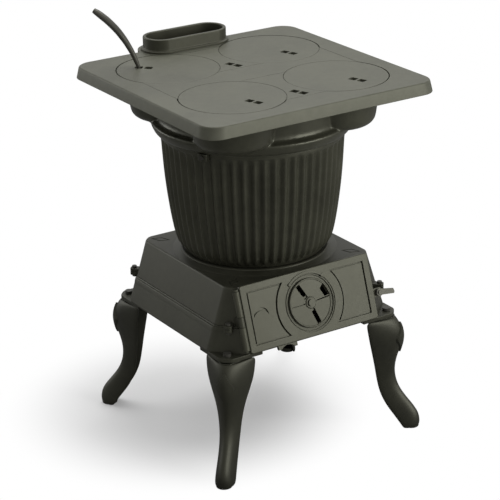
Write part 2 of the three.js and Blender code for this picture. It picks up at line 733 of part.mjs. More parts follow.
const legSolid = makeLeg();
const cornerNames = [['rear_right', 45], ['rear_left', 135], ['front_left', 225], ['front_right', 315]];
for (const [name, turn] of cornerNames) {
  addPart(`leg_${name}`, legSolid.rotate([0, 0, turn]), ironCasting);
}

// bolt down through the corner ear and the leg's cap, with its nut inside the leg
function makeLegBolt() {
  const seat = baseBottom + panLip + gap;
  const head = cylinder(boltHeadRadius, seat, seat + boltHeadHeight, boltAlong, 0, 12);
  const shank = cylinder(boltRadius, legTop - legCap - 11, seat + 1, boltAlong, 0, 12);
  const underCap = legTop - legCap - gap;
  const nut = cylinder(boltHeadRadius - 1, underCap - boltHeadHeight, underCap, boltAlong, 0, 6);
  return join(head, shank, nut);
}

function makeSeamBolt() {
  const seat = baseSeam + gap + seamLugDepth + gap;
  const under = baseSeam - seamLugDepth - gap;
  return join(
    cylinder(seamHeadRadius, seat, seat + 4, seamBoltAlong, 0, 12),
    cylinder(seamBoltRadius, under - 5, seat + 1, seamBoltAlong, 0, 10),
    cylinder(seamHeadRadius, under - 4, under, seamBoltAlong, 0, 6)
  );
}

const seamBolt = makeSeamBolt();
for (const [name, turn] of cornerNames) {
  addPart(`base_bolt_${name}`, seamBolt.rotate([0, 0, turn]), steelBolt);
}

const legBolt = makeLegBolt();
for (const [name, turn] of cornerNames) {
  addPart(`leg_bolt_${name}`, legBolt.rotate([0, 0, turn]), steelBolt);
}

// ---------- draft door ----------
function sectorShape(inner, outer, from, to) {
  const s = new THREE.Shape();
  s.absarc(0, 0, outer, rad(from), rad(to));
  s.absarc(0, 0, inner, rad(to), rad(from), true);
  return s;
}

function windows(z0, z1, turn) {
  return [22, 112, 202, 292].map((middle) => {
    const from = middle + turn - windowSpan / 2;
    return prism(sectorShape(windowInner, windowOuter, from, from + windowSpan), z0, z1, 4).translate([draftX, 0, 0]);
  });
}

// panel areas beside the draft, drawn in from their borders by an inset
function panels(inset, z0, z1) {
  const halfX = doorWidth / 2 - doorBorder - inset;
  const halfY = doorHeight / 2 - doorBorder - inset;
  return cut(box(-halfX, halfX, -halfY, halfY, z0, z1), cylinder(draftArc + inset, z0 - 5, z1 + 5, draftX, 0, 48));
}

function makeDoor() {
  const halfX = doorWidth / 2;
  const halfY = doorHeight / 2;
  const top = doorPlate + doorRelief;
  const face = cut(
    box(-halfX, halfX, -halfY, halfY, 0, top),
    panels(0, doorPlate, top + 5),
    cylinder(draftRing, doorPlate, top + 5, draftX, 0, 36)
  );
  const inserts = panels(panelGroove, doorPlate - 1, doorPlate + doorRelief / 2);
  const track = prism(sectorShape(draftRing, trackRadius, trackFrom, trackTo), top - 1, top + trackRise, 10)
    .translate([draftX, 0, 0]);
  const hub = cylinder(hubRadius - 3, doorPlate - 1, doorPlate + 0.5, draftX, 0, 24);
  const barrels = [[-barrelEnd, knuckleFoot - gap], [knuckleHead + gap, barrelEnd]].map(([low, high]) => join(
    box(hingeX, -halfX + 10, low + 4, high - 4, 0, doorPlate),
    cylinderY(knuckleRadius, low, high, hingeX, hingeZ)
  ));
  const latchLug = box(halfX - 6, latchX + 9, latchY - 9, latchY + 9, 0, doorPlate);
  const latchHole = cylinder(latchPinRadius + gap, -5, top + 5, latchX, latchY, 12);
  const rivetHole = cylinder(rivetRadius + gap, -5, top + 5, draftX, 0, 16);
  const body = join(face, inserts, track, hub, latchLug, ...barrels);
  return cut(body, ...windows(-5, 20, 0), pinHole(pinRadius + gap), rivetHole, latchHole);
}

addPart('draft_door', onDoor(makeDoor()), ironDoor);

// spinner with its four vanes
const spinnerFoot = doorPlate + gap + 0.5;
function makeSpinner() {
  const disc = cylinder(spinnerRadius, spinnerFoot, spinnerFoot + spinnerThickness, draftX, 0, 36);
  const hub = cylinder(hubRadius, spinnerFoot, spinnerFoot + spinnerThickness + 2, draftX, 0, 24);
  const rimTop = spinnerFoot + spinnerThickness + spinnerRim;
  const rim = cut(
    cylinder(spinnerRadius, spinnerFoot, rimTop, draftX, 0, 36), cylinder(windowOuter + 1, 0, 40, draftX, 0, 36)
  );
  const bore = cylinder(rivetRadius + gap, 0, 40, draftX, 0, 16);
  return cut(join(cut(disc, ...windows(0, 40, spinnerTurn)), rim, hub), bore);
}

addPart('draft_spinner', onDoor(makeSpinner()), ironDoor);

function makeRivet() {
  const top = spinnerFoot + spinnerThickness + 2 + gap;
  const head = cylinder(rivetRadius + 3, top, top + 2.5, draftX, 0, 16);
  const shank = cylinder(rivetRadius, -gap - 1, top + 1, draftX, 0, 16);
  const tail = cylinder(rivetRadius + 3, -gap - 3, -gap, draftX, 0, 16);
  return join(head, shank, tail);
}

addPart('draft_rivet', onDoor(makeRivet()), steelBolt);

function makeHingePin() {
  return join(
    cylinderY(pinRadius, -barrelEnd - 3, barrelEnd + 1, hingeX, hingeZ, 12),
    cylinderY(pinRadius + 2, barrelEnd + gap, barrelEnd + gap + 4, hingeX, hingeZ, 12)
  );
}

addPart('hinge_pin', onDoor(makeHingePin()), steelBolt);

// turning latch on the lug at the door's free edge
const latchFoot = doorPlate + gap;
function makeLatch() {
  const boss = cylinder(7.5, latchFoot, latchFoot + latchThickness + 1.5, latchX, latchY, 20);
  const handle = prism(shapeFrom([
    [latchX, latchY - 5.5], [latchX + latchReach, latchY - 9.5], [latchX + latchReach + 2, latchY - 6],
    [latchX + latchReach, latchY + 1], [latchX + 4, latchY + 6.5], [latchX - 4, latchY + 5]
  ]), latchFoot, latchFoot + latchThickness);
  return cut(join(boss, handle), cylinder(latchPinRadius + gap, 0, 40, latchX, latchY, 12));
}

addPart('door_latch', onDoor(makeLatch()), ironDoor);

function makeLatchPin() {
  const top = latchFoot + latchThickness + 1.5 + gap;
  return join(
    cylinder(latchPinRadius, -gap - 1, top + 1, latchX, latchY, 12),
    cylinder(latchPinRadius + 2, top, top + 2, latchX, latchY, 12),
    cylinder(latchPinRadius + 2, -gap - 2.5, -gap, latchX, latchY, 12)
  );
}

addPart('latch_pin', onDoor(makeLatchPin()), steelBolt);

// ---------- lid lifter ----------
const tipHalf = slotWidth * 0.26;
const lifterCurve = [
  // shares of the reach and of the rise, of the half width and of the half thickness
  [0, 0.009, 0, 0], [0.033, 0.071, 0.51, 0.51], [0.111, 0.231, 0.64, 0.58], [0.256, 0.436, 0.79, 0.67],
  [0.422, 0.622, 0.92, 0.74], [0.644, 0.8, 1, 0.77], [0.867, 0.933, 1, 0.77], [1, 1, 0.7, 0.58]
];
const lifterSteps = [
  [0, gap - slotDepth, tipHalf, tipHalf],
  ...lifterCurve.map(([along, up, wide, thick]) => [
    lifterReach * along, lifterRise * up, Math.max(tipHalf, lifterHalf * wide), Math.max(tipHalf, lifterHalf * thick)
  ])
];

function makeLifter() {
  const rings = lifterSteps.map(([along, up, wide, thick], k) => {
    const before = lifterSteps[Math.max(0, k - 1)];
    const after = lifterSteps[Math.min(lifterSteps.length - 1, k + 1)];
    const slope = Math.atan2(after[1] - before[1], after[0] - before[0]);
    return Array.from({ length: 10 }, (_, i) => {
      const a = (i / 10) * 2 * Math.PI;
      const across = wide * Math.sin(a);
      const normal = thick * Math.cos(a);
      return [along + normal * Math.sin(slope), across, up - normal * Math.cos(slope)];
    });
  });
  const g = ringSkin(rings);
  const spot = new THREE.Vector3(slotLength * slotSpacing, slotOffset, topHeight);
  spot.applyAxisAngle(new THREE.Vector3(0, 0, 1), rad(slotTwist));
  g.translate(slotReach + spot.x, spot.y, spot.z);
  g.rotateZ(rad(lifterSlotAngle));
  g.translate(-lidSpreadX, lidSpreadY, 0);
  return toManifold(g);
}

// closed skin through rings of points, with a fan at each end
function ringSkin(rings) {
  const count = rings[0].length;
  const position = rings.flat(2);
  const index = [];
  for (let k = 0; k + 1 < rings.length; k += 1) {
    for (let i = 0; i < count; i += 1) {
      const a = k * count + i;
      const b = k * count + (i + 1) % count;
      index.push(a, b, b + count, a, b + count, a + count);
    }
  }
  const last = (rings.length - 1) * count;
  for (let i = 1; i + 1 < count; i += 1) {
    index.push(0, i + 1, i);
    index.push(last, last + i, last + i + 1);
  }
  const g = new THREE.BufferGeometry();
  g.setAttribute('position', new THREE.BufferAttribute(new Float32Array(position), 3));
  g.setIndex(index);
  return g;
}

addPart('lid_lifter', makeLifter(), ironCasting);

// ---------- plan centred on the origin ----------
stove.updateMatrixWorld(true);
const extent = new THREE.Box3().setFromObject(stove);
stove.position.set(-(extent.min.x + extent.max.x) / 2, -(extent.min.y + extent.max.y) / 2, -extent.min.z);

export default stove;
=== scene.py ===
import json
import math

import bmesh
import bpy
from mathutils import Matrix, Vector

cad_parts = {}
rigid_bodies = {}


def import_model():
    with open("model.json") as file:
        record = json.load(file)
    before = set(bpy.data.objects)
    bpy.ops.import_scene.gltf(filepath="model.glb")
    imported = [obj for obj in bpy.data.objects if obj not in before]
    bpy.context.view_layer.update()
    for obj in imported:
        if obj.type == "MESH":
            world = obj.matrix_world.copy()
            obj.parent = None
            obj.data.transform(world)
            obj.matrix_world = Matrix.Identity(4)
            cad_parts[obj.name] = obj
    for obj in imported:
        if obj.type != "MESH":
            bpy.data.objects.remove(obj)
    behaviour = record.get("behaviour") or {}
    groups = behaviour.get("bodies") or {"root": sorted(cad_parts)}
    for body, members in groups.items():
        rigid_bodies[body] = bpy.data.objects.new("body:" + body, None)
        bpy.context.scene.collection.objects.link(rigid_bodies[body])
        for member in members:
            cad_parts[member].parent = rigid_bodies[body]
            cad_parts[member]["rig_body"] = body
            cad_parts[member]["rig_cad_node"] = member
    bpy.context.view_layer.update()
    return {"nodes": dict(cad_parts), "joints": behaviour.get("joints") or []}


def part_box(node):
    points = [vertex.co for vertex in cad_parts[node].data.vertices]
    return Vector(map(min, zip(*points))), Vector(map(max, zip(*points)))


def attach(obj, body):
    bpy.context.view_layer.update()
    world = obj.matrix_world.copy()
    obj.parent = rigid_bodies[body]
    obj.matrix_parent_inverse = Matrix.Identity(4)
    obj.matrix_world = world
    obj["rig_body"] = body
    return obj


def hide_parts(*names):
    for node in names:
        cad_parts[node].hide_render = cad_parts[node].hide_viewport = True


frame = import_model()
nodes = frame["nodes"]
jointOf = {joint["name"]: joint for joint in frame["joints"]}

mm = 0.001
beyond = 0.01  # how far a tool runs past what it cuts
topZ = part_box("lid_front_left")[1].z  # the cooking surface
potLow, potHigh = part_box("fire_pot")
axisY = (potLow.y + potHigh.y) / 2  # the fire pot's axis, x = 0
print("frame read: cooking surface at", round(topZ, 4), "pot axis at y", round(axisY, 4))


# ways of picking and shaping, in edit mode
def clearSelection():
    if bpy.context.object and bpy.context.object.mode != "OBJECT":
        bpy.ops.object.mode_set(mode="OBJECT")
    bpy.ops.object.select_all(action="DESELECT")


def makeActive(piece):
    clearSelection()
    piece.select_set(True)
    bpy.context.view_layer.objects.active = piece


def edit(piece, kind="VERT"):
    makeActive(piece)
    bpy.ops.object.mode_set(mode="EDIT")
    bpy.ops.mesh.select_mode(type=kind)
    bpy.ops.mesh.select_all(action="DESELECT")


def leaveEdit():
    bpy.ops.object.mode_set(mode="OBJECT")


def pickPoints(piece, test):
    mesh = bmesh.from_edit_mesh(piece.data)
    for point in mesh.verts:
        point.select = test(point.co)
    mesh.select_flush_mode()
    bmesh.update_edit_mesh(piece.data)


def pickEdges(piece, test):
    mesh = bmesh.from_edit_mesh(piece.data)
    for edge in mesh.edges:
        edge.select_set(test(edge.verts[0].co, edge.verts[1].co))
    bmesh.update_edit_mesh(piece.data)


def settle(name):
    # the new primitive gets its name, and its place goes into its mesh
    piece = bpy.context.object
    piece.name = name
    piece.data.name = name
    bpy.ops.object.transform_apply(location=True, rotation=True, scale=True)
    return piece


def block(name, low, high):
    clearSelection()
    middle = [(a + b) / 2 for a, b in zip(low, high)]
    bpy.ops.mesh.primitive_cube_add(size=1, location=middle, scale=[b - a for a, b in zip(low, high)])
    return settle(name)


def disc(name, radius, z0, z1, centre=(0, 0), points=96):
    clearSelection()
    bpy.ops.mesh.primitive_cylinder_add(
        vertices=points, radius=radius, depth=z1 - z0, location=(centre[0], centre[1], (z0 + z1) / 2))
    return settle(name)


def turned(name, profile, centre=(0, 0), points=96):
    # a ring pulled up and out through (radius, height) pairs, closed at both ends
    clearSelection()
    radius, height = profile[0]
    bpy.ops.mesh.primitive_circle_add(
        vertices=points, radius=radius, fill_type="NOTHING", location=(centre[0], centre[1], height))
    piece = settle(name)
    edit(piece)
    bpy.ops.mesh.select_all(action="SELECT")
    for (r0, z0), (r1, z1) in zip(profile, profile[1:]):
        bpy.ops.mesh.extrude_region_move(TRANSFORM_OT_translate={"value": (0, 0, z1 - z0)})
        bpy.ops.transform.resize(value=(r1 / r0, r1 / r0, 1), center_override=(centre[0], centre[1], z1))
    closeUp()
    return piece


def closeUp():
    bpy.ops.mesh.select_all(action="SELECT")
    bpy.ops.mesh.remove_doubles(threshold=0.00002)
    bpy.ops.mesh.select_all(action="DESELECT")
    bpy.ops.mesh.select_non_manifold(extend=False)
    bpy.ops.mesh.fill_holes(sides=0)
    bpy.ops.mesh.select_all(action="SELECT")
    bpy.ops.mesh.normals_make_consistent(inside=False)
    leaveEdit()


def useModifier(piece, kind, **settings):
    makeActive(piece)
    modifier = piece.modifiers.new(kind.title(), kind)
    for name, value in settings.items():
        setattr(modifier, name, value)
    bpy.ops.object.modifier_apply(modifier=modifier.name)
    return piece


def cutAway(piece, *tools):
    for tool in tools:
        useModifier(piece, "BOOLEAN", operation="DIFFERENCE", solver="EXACT", object=tool)
        bpy.data.objects.remove(tool)
    return piece


def fuse(piece, *others):
    for other in others:
        useModifier(piece, "BOOLEAN", operation="UNION", solver="EXACT", object=other)
        bpy.data.objects.remove(other)
    return piece


def gather(name, *pieces):
    makeActive(pieces[0])
    for piece in pieces:
        piece.select_set(True)
    if len(pieces) > 1:
        bpy.ops.object.join()
    pieces[0].name = name
    pieces[0].data.name = name
    return pieces[0]


def roundCorners(piece, radius, segments, test):
    edit(piece, "EDGE")
    pickEdges(piece, test)
    bpy.ops.mesh.bevel(
        offset=radius, segments=segments, affect="EDGES", offset_type="OFFSET", clamp_overlap=True)
    leaveEdit()
    return piece


def roundTip(piece, radius, far, segments=4):
    # the upright edges at a lug's outer end
    return roundCorners(
        piece, radius, segments, lambda a, b: min(a.x, b.x) > far - mm and abs(a.z - b.z) > mm)


def softenEdges(piece, width, segments=2, angle=35):
    return useModifier(
        piece, "BEVEL", width=width, segments=segments, limit_method="ANGLE", angle_limit=math.radians(angle),
        use_clamp_overlap=True, harden_normals=False)


def transformed(piece, matrix):
    makeActive(piece)
    piece.matrix_world = matrix
    bpy.ops.object.transform_apply(location=True, rotation=True, scale=True)
    return piece


def duplicate(piece, name):
    twin = piece.copy()
    twin.data = piece.data.copy()
    bpy.context.scene.collection.objects.link(twin)
    twin.name = name
    twin.data.name = name
    return twin


def stretched(piece, factors, centre=(0, 0, 0)):
    edit(piece)
    bpy.ops.mesh.select_all(action="SELECT")
    bpy.ops.transform.resize(value=factors, center_override=centre)
    leaveEdit()
    return piece


def placed(x, y, angle=0):
    return Matrix.Translation((x, y, 0)) @ Matrix.Rotation(math.radians(angle), 4, "Z")


def turnedAbout(angle):
    # round the fire pot's axis
    return placed(0, axisY, angle) @ Matrix.Translation((0, -axisY, 0))


def scaled(pairs):
    return [(r * mm, z * mm) for r, z in pairs]


def softCopy(node, name, width, segments=2, dissolve=True):
    # a copy of a solid with its triangles merged and its edges softened
    source = nodes[node]
    piece = duplicate(source, name)
    piece.parent = None
    piece.matrix_world = Matrix.Identity(4)
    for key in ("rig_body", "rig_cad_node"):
        if key in piece:
            del piece[key]
    edit(piece)
    bpy.ops.mesh.select_all(action="SELECT")
    bpy.ops.mesh.remove_doubles(threshold=0.00001)
    if dissolve:
        bpy.ops.mesh.dissolve_limited(angle_limit=math.radians(1))
    leaveEdit()
    return softenEdges(piece, width, segments)


def dress(piece, body, material, replaced=(), angle=35):
    makeActive(piece)
    bpy.ops.object.shade_smooth_by_angle(angle=math.radians(angle))
    useModifier(piece, "WEIGHTED_NORMAL", keep_sharp=True)
    piece.data.materials.clear()
    piece.data.materials.append(material)
    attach(piece, body)
    if replaced:
        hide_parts(*replaced)
    return piece


# shader maths
class Wire:
    # a socket that takes part in Python arithmetic
    def __init__(self, board, socket):
        self.board = board
        self.socket = socket

    def reckon(self, operation, first, second):
        return self.board.add("ShaderNodeMath", {"operation": operation}, {0: first, 1: second})

    def __add__(self, other):
        return self.reckon("ADD", self, other)

    def __sub__(self, other):
        return self.reckon("SUBTRACT", self, other)

    def __mul__(self, other):
        return self.reckon("MULTIPLY", self, other)


class Board:
    # one material's nodes
    def __init__(self, name):
        self.material = bpy.data.materials.new(name)
        self.material.use_nodes = True
        self.tree = self.material.node_tree
        self.tree.nodes.clear()

    def add(self, kind, settings=None, sockets=None, output=0):
        node = self.tree.nodes.new(kind)
        for name, value in (settings or {}).items():
            if name == "stops":
                for element, (position, colour) in zip(node.color_ramp.elements, value):
                    element.position = position
                    element.color = colour
            else:
                setattr(node, name, value)
        for name, value in (sockets or {}).items():
            if isinstance(value, Wire):
                self.tree.links.new(value.socket, node.inputs[name])
            else:
                node.inputs[name].default_value = value
        return Wire(self, node.outputs[output]) if node.outputs else None

    def noise(self, place, scale, detail=3.0, roughness=0.55):
        return self.add("ShaderNodeTexNoise", None, {
            "Vector": place, "Scale": scale, "Detail": detail, "Roughness": roughness})

    def spread(self, value, low, high):
        # stretches a noise's middle range over 0 to 1
        return self.add(
            "ShaderNodeMapRange", {"clamp": True}, {"Value": value, "From Min": low, "From Max": high})


ironFinish = {
    "pitScale": 620.0,  # grains of the moulding sand, per metre
    "swellScale": 70.0,  # slow waves in a sand-cast face
    "patchScale": 7.5,  # patches of thicker and thinner stove black
    "pitDepth": 0.00035,
    "shine": 0.42,
    "tint": (1.0, 1.0, 0.8, 1.0),
}


def castIron(name, dark, light, roughness, pit=0.3):
    board = Board(name)
    place = board.add("ShaderNodeTexCoord", None, None, "Object")
    pits = board.noise(place, ironFinish["pitScale"], 3.0, 0.6)
    swell = board.noise(place, ironFinish["swellScale"], 4.0)
    patch = board.spread(board.noise(place, ironFinish["patchScale"], 4.0, 0.6), 0.35, 0.65)
    tone = board.spread(swell * 0.45 + patch * 0.4 + pits * 0.15, 0.3, 0.7)
    colour = board.add(
        "ShaderNodeMix", {"data_type": "RGBA"}, {0: tone, 6: (*dark, 1), 7: (*light, 1)}, 2)
    relief = pits * 0.6 + swell * 0.4
    bump = board.add(
        "ShaderNodeBump", None, {"Strength": pit, "Distance": ironFinish["pitDepth"], "Height": relief})
    gloss = (patch - 0.5) * 0.08 + (pits - 0.5) * 0.1 + roughness
    body = board.add(
        "ShaderNodeBsdfPrincipled", None,
        {"Base Color": colour, "Roughness": gloss, "Normal": bump, "Metallic": 0.0,
         "Specular IOR Level": ironFinish["shine"], "Specular Tint": ironFinish["tint"]})
    board.add("ShaderNodeOutputMaterial", None, {"Surface": body})
    return board.material


# one cast iron for every casting, toned per part: the top's lighter tone is painted light on the cooking top
litTopIron = castIron("litTopIron", (0.062, 0.063, 0.047), (0.088, 0.089, 0.068), 0.46, 0.22)
potIron = castIron("potIron", (0.027, 0.027, 0.019), (0.042, 0.042, 0.029), 0.35, 0.25)
baseIron = castIron("baseIron", (0.019, 0.019, 0.013), (0.031, 0.031, 0.022), 0.44, 0.25)
doorIron = castIron("doorIron", (0.03, 0.03, 0.021), (0.046, 0.046, 0.032), 0.44, 0.3)
# the legs' darkest tone is painted shade under the stove
shadedLegIron = castIron("shadedLegIron", (0.011, 0.011, 0.008), (0.019, 0.019, 0.013), 0.46, 0.22)
boltIron = castIron("boltIron", (0.03, 0.029, 0.026), (0.05, 0.048, 0.042), 0.36, 0.15)
print("finishes mixed")


# stage, lamps and the photograph's camera
studio = {
    "floor": 12.0, "paper": 0.8, "paperInShine": 0.22, "backdrop": 1.0, "shine": 0.65, "ambient": 0.3,
    "shadeX": -0.1, "shadeY": 0.1, "shadeNear": 0.14, "shadeFar": 0.4, "shadeLeast": 0.22,
}


def makeStage():
    clearSelection()
    bpy.ops.mesh.primitive_plane_add(size=studio["floor"], location=(0, 0, 0))
    floor = settle("studioFloor")
    board = Board("floorPaper")
    seen = board.add("ShaderNodeLightPath", None, None, "Is Camera Ray")
    shine = board.add("ShaderNodeLightPath", None, None, "Is Glossy Ray")
    tone = shine * (studio["paperInShine"] - studio["paper"]) + studio["paper"]
    grey = board.add("ShaderNodeCombineColor", None, {0: tone, 1: tone, 2: tone})
    paper = board.add("ShaderNodeBsdfDiffuse", None, {"Color": grey})
    bright = board.add("ShaderNodeEmission", None, {"Color": (1, 1, 1, 1), "Strength": 1.0})
    place = board.add("ShaderNodeTexCoord", None, None, "Object")
    middle = (studio["shadeX"], studio["shadeY"], 0)
    aside = board.add("ShaderNodeVectorMath", {"operation": "SUBTRACT"}, {0: place, 1: middle})
    far = board.add("ShaderNodeVectorMath", {"operation": "LENGTH"}, {0: aside}, "Value")
    fade = board.add(
        "ShaderNodeMapRange", {"clamp": True, "interpolation_type": "SMOOTHSTEP"},
        {"Value": far, "From Min": studio["shadeNear"], "From Max": studio["shadeFar"],
         "To Min": studio["shadeLeast"]})
    whole = board.add("ShaderNodeMixShader", None, {0: seen * fade, 1: paper, 2: bright})
    board.add("ShaderNodeOutputMaterial", None, {"Surface": whole})
    floor.data.materials.append(board.material)
    world = bpy.data.worlds.new("studioWorld")
    bpy.context.scene.world = world
    world.use_nodes = True
    tree = world.node_tree
    tree.nodes.clear()
    board = Board.__new__(Board)
    board.tree = tree
    seenPath = board.add("ShaderNodeLightPath", None, None, "Is Camera Ray")
    shinePath = board.add("ShaderNodeLightPath", None, None, "Is Glossy Ray")
    strength = (
        seenPath * (studio["backdrop"] - studio["ambient"])
        + shinePath * (studio["shine"] - studio["ambient"]) + studio["ambient"])
    sky = board.add("ShaderNodeBackground", None, {"Color": (1, 1, 1, 1), "Strength": strength})
    board.add("ShaderNodeOutputWorld", None, {"Surface": sky})


lampAim = 0.42
lamps = {
    "frontRight": {"place": (1.9, -3.0, 1.5), "size": 2.0, "power": 86.0},
    "overhead": {"place": (0.5, 0.8, 2.8), "size": 2.0, "power": 46.0},
    "left": {"place": (-1.7, 2.6, 1.1), "size": 1.4, "power": 15.0},
}


def hangLamps():
    aim = Vector((0, axisY, lampAim))
    for name, lamp in lamps.items():
        light = bpy.data.lights.new(name, "AREA")
        light.shape = "SQUARE"
        light.size = lamp["size"]
        light.energy = lamp["power"]
        holder = bpy.data.objects.new(name, light)
        bpy.context.scene.collection.objects.link(holder)
        holder.location = lamp["place"]
        holder.rotation_euler = (aim - Vector(lamp["place"])).to_track_quat("-Z", "Y").to_euler()


photoCamera = {
    "azimuth": -32.56, "elevation": 21.74, "roll": -1.18,
    "distance": 3.9045, "aside": 0.01113, "above": 0.06213, "aimHeight": 0.3,
    "lens": 138.36, "sensor": 36.0,
}


def setCamera():
    look = photoCamera
    a, e, r = (math.radians(look[key]) for key in ("azimuth", "elevation", "roll"))
    back = Vector((math.sin(a) * math.cos(e), -math.cos(a) * math.cos(e), math.sin(e)))
    level = Vector((math.cos(a), math.sin(a), 0))
    rise = back.cross(level)
    right = level * math.cos(r) + rise * math.sin(r)
    up = rise * math.cos(r) - level * math.sin(r)
    place = (Vector((0, axisY, look["aimHeight"])) - right * look["aside"] + up * look["above"]
             + back * look["distance"])
    lens = bpy.data.cameras.new("photoCamera")
    lens.sensor_width = look["sensor"]
    lens.lens = look["lens"]
    camera = bpy.data.objects.new("photoCamera", lens)
    bpy.context.scene.collection.objects.link(camera)
    camera.matrix_world = Matrix.Translation(place) @ Matrix((right, up, back)).transposed().to_4x4()
    bpy.context.scene.camera = camera


makeStage()
hangLamps()
setCamera()
bpy.context.scene.view_settings.view_transform = "Standard"
print("stage, lamps and camera set")


# fire pot
potShape = {
    "flutes": 56, "pointsPerFlute": 8, "fluteDepth": 7.0 * mm, "fluteRadius": 170 * mm,
    "fluteFoot": 396 * mm, "fluteHead": 619 * mm, "fluteSharpness": 0.85,
    "outside": ((138, 384.3), (141, 386), (141.5, 389), (145, 393), (151, 398), (155.5, 404), (159, 412),
                (165.5, 445), (170.8, 482), (175.5, 520), (179.2, 564), (181.7, 616), (182.2, 620),
                (182, 623), (182, 628.5), (181.5, 629.7)),
    "inside": ((171, 629.7), (170, 615), (163, 520), (153, 445), (145, 412), (138, 398), (132, 390),
               (131, 384.3)),
    "wall": 6, "nearRing": 0.5, "onRing": 0.3,
}


def makeFirePot():
    shape = potShape
    rings = scaled(shape["outside"] + shape["inside"] + shape["outside"][:1])
    pot = turned("firePotCasting", rings, (0, axisY), shape["flutes"] * shape["pointsPerFlute"])
    edit(pot)
    steps = shape["pointsPerFlute"]

    def isFluted(place, step):
        radius = math.hypot(place.x, place.y - axisY)
        if not shape["fluteFoot"] < place.z < shape["fluteHead"]:
            return False
        height = place.z / mm
        outer = max(r for r, z in shape["outside"] if abs(z - height) < shape["nearRing"])
        if radius < (outer - shape["wall"]) * mm:
            return False
        phase = math.atan2(place.y - axisY, place.x) * shape["flutes"] / (2 * math.pi)
        return round((phase % 1) * steps) % steps == step

    def isOnRing(place):
        return any(abs(z - place.z / mm) < shape["onRing"] for r, z in shape["outside"])

    for step in range(1, steps):
        share = (0.5 - 0.5 * math.cos(2 * math.pi * step / steps)) ** shape["fluteSharpness"]
        pickPoints(pot, lambda place: isOnRing(place) and isFluted(place, step))
        factor = 1 - share * shape["fluteDepth"] / shape["fluteRadius"]
        bpy.ops.transform.resize(value=(factor, factor, 1), center_override=(0, axisY, 0))
    leaveEdit()
    return useModifier(pot, "SUBSURF", levels=1, render_levels=1)


potLug = {
    "angle": 207, "near": 176 * mm, "far": 193 * mm, "half": 10 * mm, "height": 14 * mm, "top": 629.7 * mm,
    "corner": 4 * mm, "edge": 1.2 * mm,
}


def makePotLug(turn):
    lug = block("potLug", (potLug["near"], axisY - potLug["half"], potLug["top"] - potLug["height"]),
                (potLug["far"], axisY + potLug["half"], potLug["top"]))
    roundTip(lug, potLug["corner"], potLug["far"])
    softenEdges(lug, potLug["edge"])
    return transformed(lug, turnedAbout(potLug["angle"] + turn))


firePot = makeFirePot()
dress(firePot, "root", potIron, ["fire_pot"], 60)
for turn, name in ((0, "potLugLeft"), (180, "potLugRight")):
    lug = makePotLug(turn)
    lug.name = name
    dress(lug, "root", potIron)
print("fire pot fluted")


# neck under the cooking top, with the flue passage behind it
lidAside = {"x": 118.5 * mm, "y": 117.3 * mm}
lidPlaces = {
    "lid_" + row + side: (x * lidAside["x"], y * lidAside["y"] + axisY)
    for row, y in (("front", -1), ("rear", 1)) for side, x in (("_left", -1), ("_right", 1))
}
neckShape = {
    "lobe": ((56, 646), (66, 648.5), (72, 653), (76, 659), (78, 668), (86, 725.7)),
    "body": ((188, 630.3), (191, 631), (195, 636), (198.4, 643), (200, 648), (200, 651), (198.2, 653.4),
             (194.5, 654.6), (190, 656), (187.2, 659), (186, 665), (186, 725.7)),
    "lobeBore": ((50, 654), (64, 659), (70, 670), (79, 735)),
    "bodyBore": ((176, 626), (182, 638), (187, 644), (186, 650), (181, 656), (179, 662), (179, 735)),
    "voxel": 2.4 * mm,
}
duct = {
    "half": 82 * mm, "front": 120 * mm, "back": 288 * mm, "floor": 689.7 * mm, "top": 725.7 * mm,
    "wall": 6 * mm, "boreRise": 0.008,
}


def makeNeckForm(name, lobe, body, inset):
    parts = [turned("neckBody", scaled(body), (0, axisY), 128)]
    for place in lidPlaces.values():
        parts.append(turned("neckLobe", scaled(lobe), place, 96))
    wall = duct["wall"] * inset
    top = duct["top"] + (duct["boreRise"] if inset else 0)
    parts.append(block("neckDuct", (-duct["half"] + wall, duct["front"] + axisY, duct["floor"] + wall),
                       (duct["half"] - wall, duct["back"] + axisY - wall, top)))
    whole = gather(name, *parts)
    useModifier(whole, "REMESH", mode="VOXEL", voxel_size=neckShape["voxel"])
    return useModifier(whole, "SMOOTH", factor=0.5, iterations=3 if not inset else 1)


neck = makeNeckForm("neckCasting", neckShape["lobe"], neckShape["body"], 0)
cutAway(neck, makeNeckForm("neckBore", neckShape["lobeBore"], neckShape["bodyBore"], 1))
dress(neck, "root", potIron, ["pot_top"], 60)
print("neck cast")


# cooking top
plateShape = {
    "half": 257 * mm, "corner": 36 * mm, "slab": 14 * mm, "rim": 24 * mm, "flare": 4.3 * mm,
    "rimWall": 7 * mm, "topEdge": 3.2 * mm, "footEdge": 1.5 * mm, "throat": 144 * mm, "lobe": 79 * mm,
    "longHalfX": 207.8 * mm, "longHalfY": 65.8 * mm, "shortHalfX": 56 * mm, "shortHalfY": 190.8 * mm,
    "ductFront": 0.233, "ductBack": 0.2883, "ductSlack": 0.0003, "seamEdge": 0.8 * mm,
}
lidShape = {"radius": 101.6 * mm, "thickness": 8 * mm, "gap": 2.1 * mm, "seat": 8.3 * mm, "edge": 0.7 * mm}
slotShape = {
    "length": 16 * mm, "width": 15 * mm, "depth": 6.5 * mm, "reach": 50 * mm, "apart": 10 * mm,
    "corner": 2.4 * mm,
}
lidHeadings = {"lid_front_left": -70, "lid_front_right": -70, "lid_rear_left": 135, "lid_rear_right": -70}
flueShape = {
    "y": 250 * mm + axisY, "straight": 55 * mm, "outer": 38 * mm, "wall": 7 * mm, "height": 28 * mm,
    "flange": 5 * mm, "tab": 49 * mm, "gap": 0.3 * mm,
}


